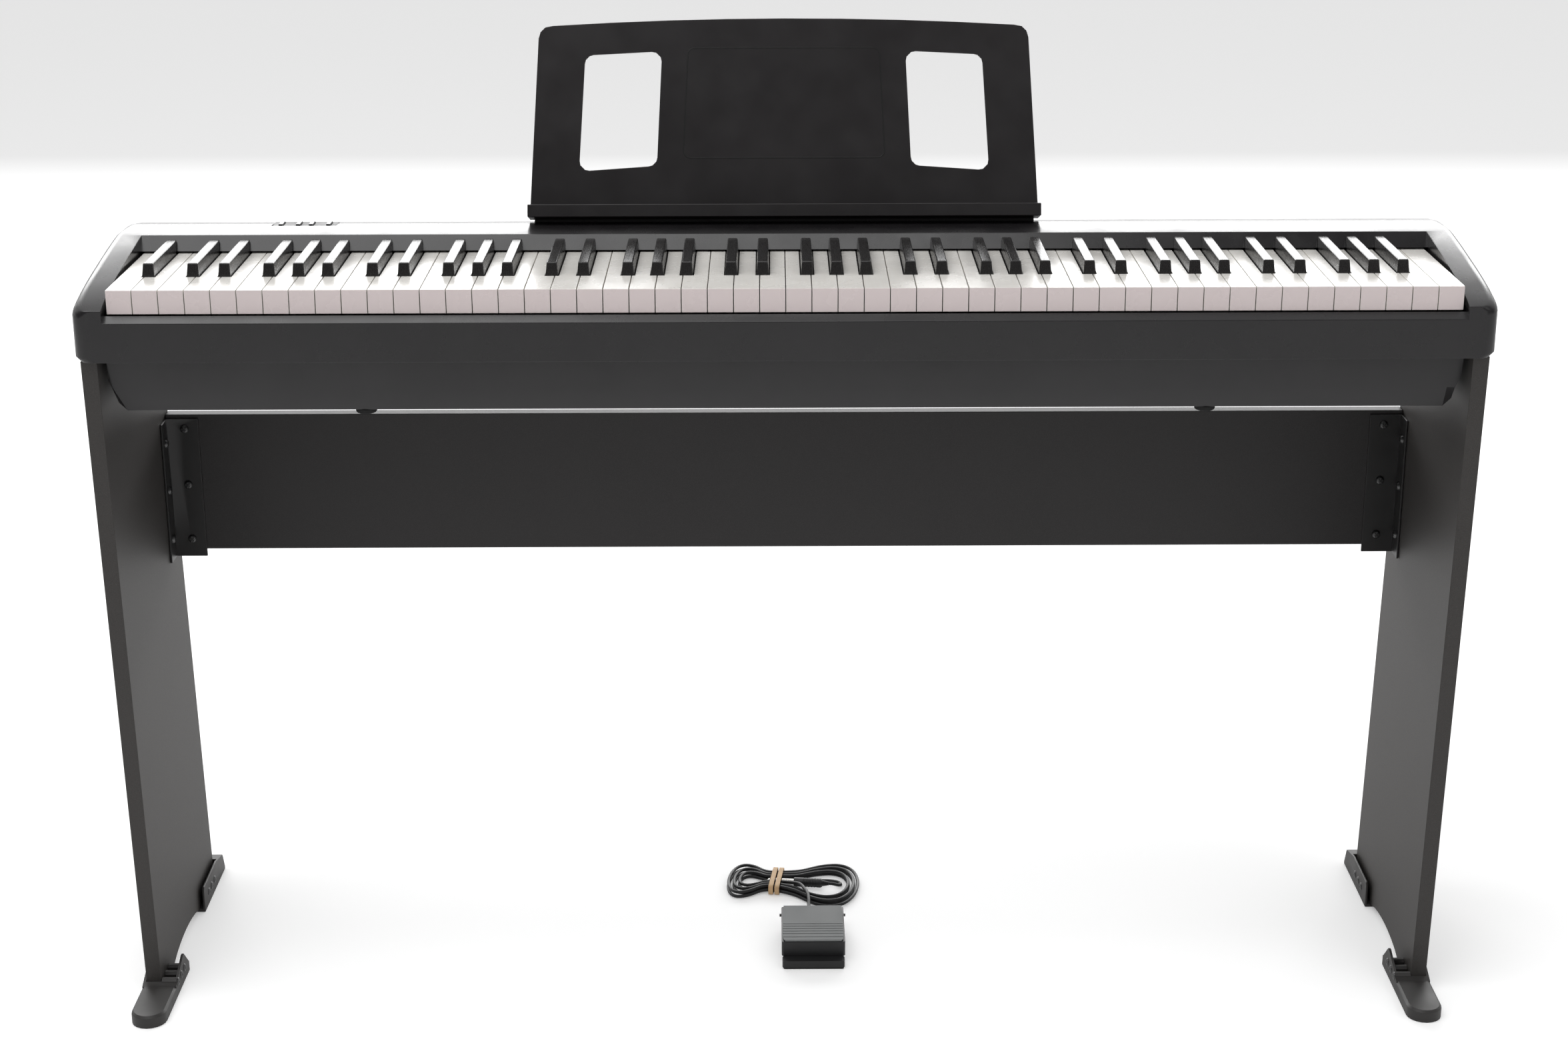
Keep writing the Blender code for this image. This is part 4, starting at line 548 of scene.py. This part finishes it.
def rounded(corners, radius, steps=5):
    points = []
    for i in range(4):
        here = Vector(corners[i])
        before = (Vector(corners[i - 1]) - here).normalized()
        after = (Vector(corners[(i + 1) % 4]) - here).normalized()
        half = before.angle(after) / 2
        centre = here + (before + after).normalized() * (radius / math.sin(half))
        a = here + before * radius / math.tan(half) - centre
        b = here + after * radius / math.tan(half) - centre
        for k in range(steps + 1):
            spoke = a.lerp(b, k / steps).normalized() * radius
            points.append(tuple(centre + spoke))
    return points


frame_line = rounded([(-0.0986, 0.0600), (0.0986, 0.0600), (0.0932, 0.1672), (-0.0932, 0.1672)], 0.007)
# painted shade: the raised outline is coloured a deeper black than the rest around it
strip("rest_outline", frame_line, 0.0008, 0.00015, moulded("outline_black", (0.005, 0.005, 0.005), 0.5),
      "rest", rest_point)

# Keys
def key_edge(mid, edge):
    """Edges at the top and the front of a key, where a finger meets them."""
    return mid.z > KEY_TOP_Z - 0.0006 and mid.y < y_at(0.165) or mid.y < y_at(0.0100)


def sharp_edge(mid, edge):
    return mid.z > KEY_TOP_Z + 0.0005 and mid.y < y_at(0.175)


for node in sorted(NODES):
    if node.startswith("white_key"):
        dressed(node, key_ivory, 0.00045, 3, key_edge)
    elif node.startswith("black_key"):
        dressed(node, key_ebony, 0.0011, 3, sharp_edge)

# Inside
dressed("key_chassis", zinc, 0.0003, 1)
dressed("key_felt", red_felt, 0.0006, 2)
dressed("main_board", circuit_green, 0.0001, 1)
for side in ("left", "right"):
    dressed("speaker_" + side, speaker_black, 0.0004, 2)

# Stand
for side, sign in (("left", -1), ("right", 1)):
    dressed("side_panel_" + side, board_foil, 0.0007, 2)
    dressed("front_shoe_" + side, shoe_black, 0.0010, 3)
    dressed("rear_shoe_" + side, shoe_black, 0.0012, 3)
    dressed("bracket_" + side, steel_black, 0.0004, 2)
    for place_name in ("front", "rear"):
        low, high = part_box("case_bolt_%s_%s" % (place_name, side))
        outer = high.x if sign > 0 else low.x
        centre = (outer, (low.y + high.y) / 2, (low.z + high.z) / 2)
        head = [(0.0, 0.0024), (0.0, 0.0046), (0.0005, 0.0062), (0.0018, 0.0073), (0.0031, 0.0075)]
        hole = [(0.0024, 0.0006), (0.0022, 0.0023)]
        place("bolt_head_%s_%s" % (place_name, side),
              turned("bolt_head", centre, (-sign, 0, 0), hole + head + [(0.0032, 0.0026), (0.031, 0.0024)], 36),
              screw_metal, "instrument", "case_bolt_%s_%s" % (place_name, side))
# the cross panel's laminate is darkened as painted shade
dressed("cross_panel", cross_foil_shaded, 0.0007, 2)


def screw(name, centre, axis, radius, height):
    """Pan head with a cross recess, standing on the CAD's own screw."""
    profile = [(height * 0.25, radius * 0.10), (height * 0.30, radius * 0.46), (height, radius * 0.52),
               (height * 0.94, radius * 0.72), (height * 0.62, radius * 0.92), (0.0, radius)]
    place(name, turned(name, centre, axis, profile, 48, star=(1, 2)), screw_metal, "instrument")


BOARD_IN, CROSS_FACE = 0.6227, y_at(0.2472)
for side, sign in (("left", -1), ("right", 1)):
    for number, z in enumerate((0.531, 0.4725, 0.4148)):
        screw("bracket_screw_%s_%d" % (side, number), (sign * (BOARD_IN - 0.002 - 0.0313 * 0.55 + 0.0002), CROSS_FACE, z),
              (0, -1, 0), 0.0043, 0.0026)
    for number, z in enumerate((0.519, 0.470, 0.4186)):
        screw("side_screw_%s_%d" % (side, number), (sign * (BOARD_IN - 0.002), y_at(0.2492 - 0.0245 * 0.55), z),
              (-sign, 0, 0), 0.0043, 0.0026)
    for shoe, inner, middle in (("front", 0.607, 0.069), ("rear", 0.617, 0.271)):
        for k in (-1, 0, 1):
            screw("%s_shoe_screw_%s_%d" % (shoe, side, k + 1),
                  (sign * inner, y_at(middle + k * 0.0148), 0.0135), (-sign, 0, 0), 0.0041, 0.0011)

# Pedal
for node in ("pedal_base", "pedal_treadle"):
    dressed(node, pedal_black, 0.0007, 2)
dressed("pedal_sole", sole_rubber, 0.0003, 1)
dressed("pedal_gland", plug_black, 0.0003, 2)
dressed("pedal_pin", screw_metal, 0.0003, 2)

coil = []
low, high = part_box("pedal_spring")
centre_x, centre_y = (low.x + high.x) / 2, (low.y + high.y) / 2
for i in range(9 * 20 + 1):
    t = i / 20
    rise = min(max((t - 0.75) / 7.5, 0.0), 1.0)
    coil.append((centre_x + 0.0043 * math.cos(2 * math.pi * t), centre_y + 0.0043 * math.sin(2 * math.pi * t),
                 low.z + 0.0006 + (high.z - low.z - 0.0012) * rise))
wire = bpy.data.curves.new("spring_wire", 'CURVE')
wire.dimensions = '3D'
wire.bevel_depth = 0.0005
wire.bevel_resolution = 3
wire.use_fill_caps = True
turns = wire.splines.new('POLY')
turns.points.add(len(coil) - 1)
for slot, p in zip(turns.points, coil):
    slot.co = (*p, 1.0)
guide = bpy.data.objects.new("spring_guide", wire)
bpy.context.scene.collection.objects.link(guide)
bpy.context.view_layer.update()
shaped = bpy.data.meshes.new_from_object(guide.evaluated_get(bpy.context.evaluated_depsgraph_get()))
bpy.data.objects.remove(guide, do_unlink=True)
spring_wire = place("spring_wire", shaped, spring_steel, "instrument", "pedal_spring", smooth_angle=60)
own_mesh(spring_wire)

# Pad: a rubber sheet with a band of ribs near its front and one groove behind them
low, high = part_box("pedal_pad")
mid_x, half_w, corner = (low.x + high.x) / 2, (high.x - low.x) / 2, 0.0025
grooves = [low.y + 0.0060] + [low.y + 0.0136 + 0.00545 * k for k in range(5)]
profile = [(low.y, low.z), (low.y, high.z - 0.0006), (low.y + 0.0006, high.z)]
for at in grooves:
    profile += [(at, high.z), (at + 0.0003, high.z - 0.0008), (at + 0.0012, high.z - 0.0008), (at + 0.0015, high.z)]
profile += [(high.y - 0.0006, high.z), (high.y, high.z - 0.0006), (high.y, low.z)]


def pad_half(y):
    lap = max(corner - (y - low.y), corner - (high.y - y), 0.0)
    return half_w - (corner - math.sqrt(max(corner ** 2 - lap ** 2, 0.0)))


verts, faces = [], []
for y, z in profile:
    inset = 0.0005 if z > low.z else 0.0
    verts += [(mid_x - pad_half(y) + inset, y, z), (mid_x + pad_half(y) - inset, y, z)]
for k in range(len(profile) - 1):
    faces.append((2 * k, 2 * k + 1, 2 * k + 3, 2 * k + 2))
faces.append((2 * len(profile) - 2, 2 * len(profile) - 1, 1, 0))
faces.append(tuple(range(0, 2 * len(profile), 2)))
faces.append(tuple(range(1, 2 * len(profile), 2))[::-1])
place("pad_ribbed", new_mesh("pad_ribbed", verts, faces), pad_rubber, "treadle", "pedal_pad")
# painted shade: a thin dark strip lies in the bottom of each groove
for k, at in enumerate(grooves):
    line_mesh = new_mesh("rib_floor", [(mid_x + sx * (half_w - 0.0007), at + dy, high.z + dz)
                                       for dy, dz in ((0.0003, -0.00072), (0.0012, -0.00072),
                                                      (0.0012, -0.00079), (0.0003, -0.00079))
                                       for sx in (-1, 1)],
                         [(0, 1, 3, 2), (2, 3, 5, 4), (4, 5, 7, 6), (6, 7, 1, 0), (0, 2, 4, 6), (1, 7, 5, 3)])
    place("rib_floor_%d" % k, line_mesh, groove_rubber, "treadle")

# Studio: pale floor, white surroundings, soft lamps
FLOOR_GLOW = 0.30
floor_mat = bpy.data.materials.new("studio_floor")
floor_mat.use_nodes = True
shader = floor_mat.node_tree.nodes["Principled BSDF"]
shader.inputs["Base Color"].default_value = (0.93, 0.93, 0.93, 1)
shader.inputs["Roughness"].default_value = 0.9
shader.inputs["Specular IOR Level"].default_value = 0.1
shader.inputs["Emission Color"].default_value = (1, 1, 1, 1)
seen = floor_mat.node_tree.nodes.new("ShaderNodeLightPath")
glow = floor_mat.node_tree.nodes.new("ShaderNodeMath")
glow.operation = 'MULTIPLY'
glow.inputs[1].default_value = FLOOR_GLOW
floor_mat.node_tree.links.new(seen.outputs["Is Camera Ray"], glow.inputs[0])
floor_mat.node_tree.links.new(glow.outputs[0], shader.inputs["Emission Strength"])
mesh = new_mesh("studio_floor", [(-14, -9, -0.0003), (14, -9, -0.0003), (14, 16, -0.0003), (-14, 16, -0.0003)],
                [(0, 1, 2, 3)])
floor = bpy.data.objects.new("studio_floor", mesh)
mesh.materials.append(floor_mat)
bpy.context.scene.collection.objects.link(floor)

world = bpy.data.worlds.new("studio_world")
bpy.context.scene.world = world
world.use_nodes = True
tree = world.node_tree
tree.nodes.clear()
out = tree.nodes.new("ShaderNodeOutputWorld")
plain = tree.nodes.new("ShaderNodeBackground")
plain.inputs["Color"].default_value = (1, 1, 1, 1)
plain.inputs["Strength"].default_value = 0.50
white = tree.nodes.new("ShaderNodeBackground")
white.inputs["Color"].default_value = (1, 1, 1, 1)
path = tree.nodes.new("ShaderNodeLightPath")
# The studio is white behind and above the instrument and dim on the camera's side
ways = tree.nodes.new("ShaderNodeTexCoord")
parts = tree.nodes.new("ShaderNodeSeparateXYZ")
fade = tree.nodes.new("ShaderNodeMapRange")
for socket, value in (("From Min", -0.25), ("From Max", 0.25), ("To Min", 0.12), ("To Max", 1.0)):
    fade.inputs[socket].default_value = value
level_of = tree.nodes.new("ShaderNodeMath")
level_of.operation = 'MAXIMUM'
tree.links.new(ways.outputs["Generated"], parts.inputs[0])
tree.links.new(parts.outputs["Y"], fade.inputs["Value"])
tree.links.new(fade.outputs["Result"], level_of.inputs[0])
tree.links.new(path.outputs["Is Camera Ray"], level_of.inputs[1])
tree.links.new(level_of.outputs[0], white.inputs["Strength"])
either = tree.nodes.new("ShaderNodeMath")
either.operation = 'MAXIMUM'
glass = tree.nodes.new("ShaderNodeMath")
glass.operation = 'MAXIMUM'
pick = tree.nodes.new("ShaderNodeMixShader")
tree.links.new(path.outputs["Is Camera Ray"], either.inputs[0])
tree.links.new(path.outputs["Is Glossy Ray"], either.inputs[1])
tree.links.new(either.outputs[0], glass.inputs[0])
tree.links.new(path.outputs["Is Transmission Ray"], glass.inputs[1])
tree.links.new(glass.outputs[0], pick.inputs[0])
tree.links.new(plain.outputs[0], pick.inputs[1])
tree.links.new(white.outputs[0], pick.inputs[2])
tree.links.new(pick.outputs[0], out.inputs["Surface"])


def lamp(name, place_at, aim, size, power):
    light = bpy.data.lights.new(name, 'AREA')
    light.shape = 'RECTANGLE'
    light.size, light.size_y = size
    light.energy = power
    ob = bpy.data.objects.new(name, light)
    bpy.context.scene.collection.objects.link(ob)
    ob.location = place_at
    ob.rotation_euler = (Vector(aim) - Vector(place_at)).to_track_quat('-Z', 'Y').to_euler()


lamp("key_lamp", (-1.0, -0.8, 3.6), (0, 0, 0.4), (3.0, 2.4), 60)
lamp("fill_lamp", (2.2, -2.2, 2.6), (0, 0, 0.5), (2.4, 2.4), 12)
lamp("back_lamp", (0, 4.0, 1.9), (0, 0, 0.7), (6.0, 1.5), 110)

bpy.context.scene.view_settings.view_transform = 'Standard'
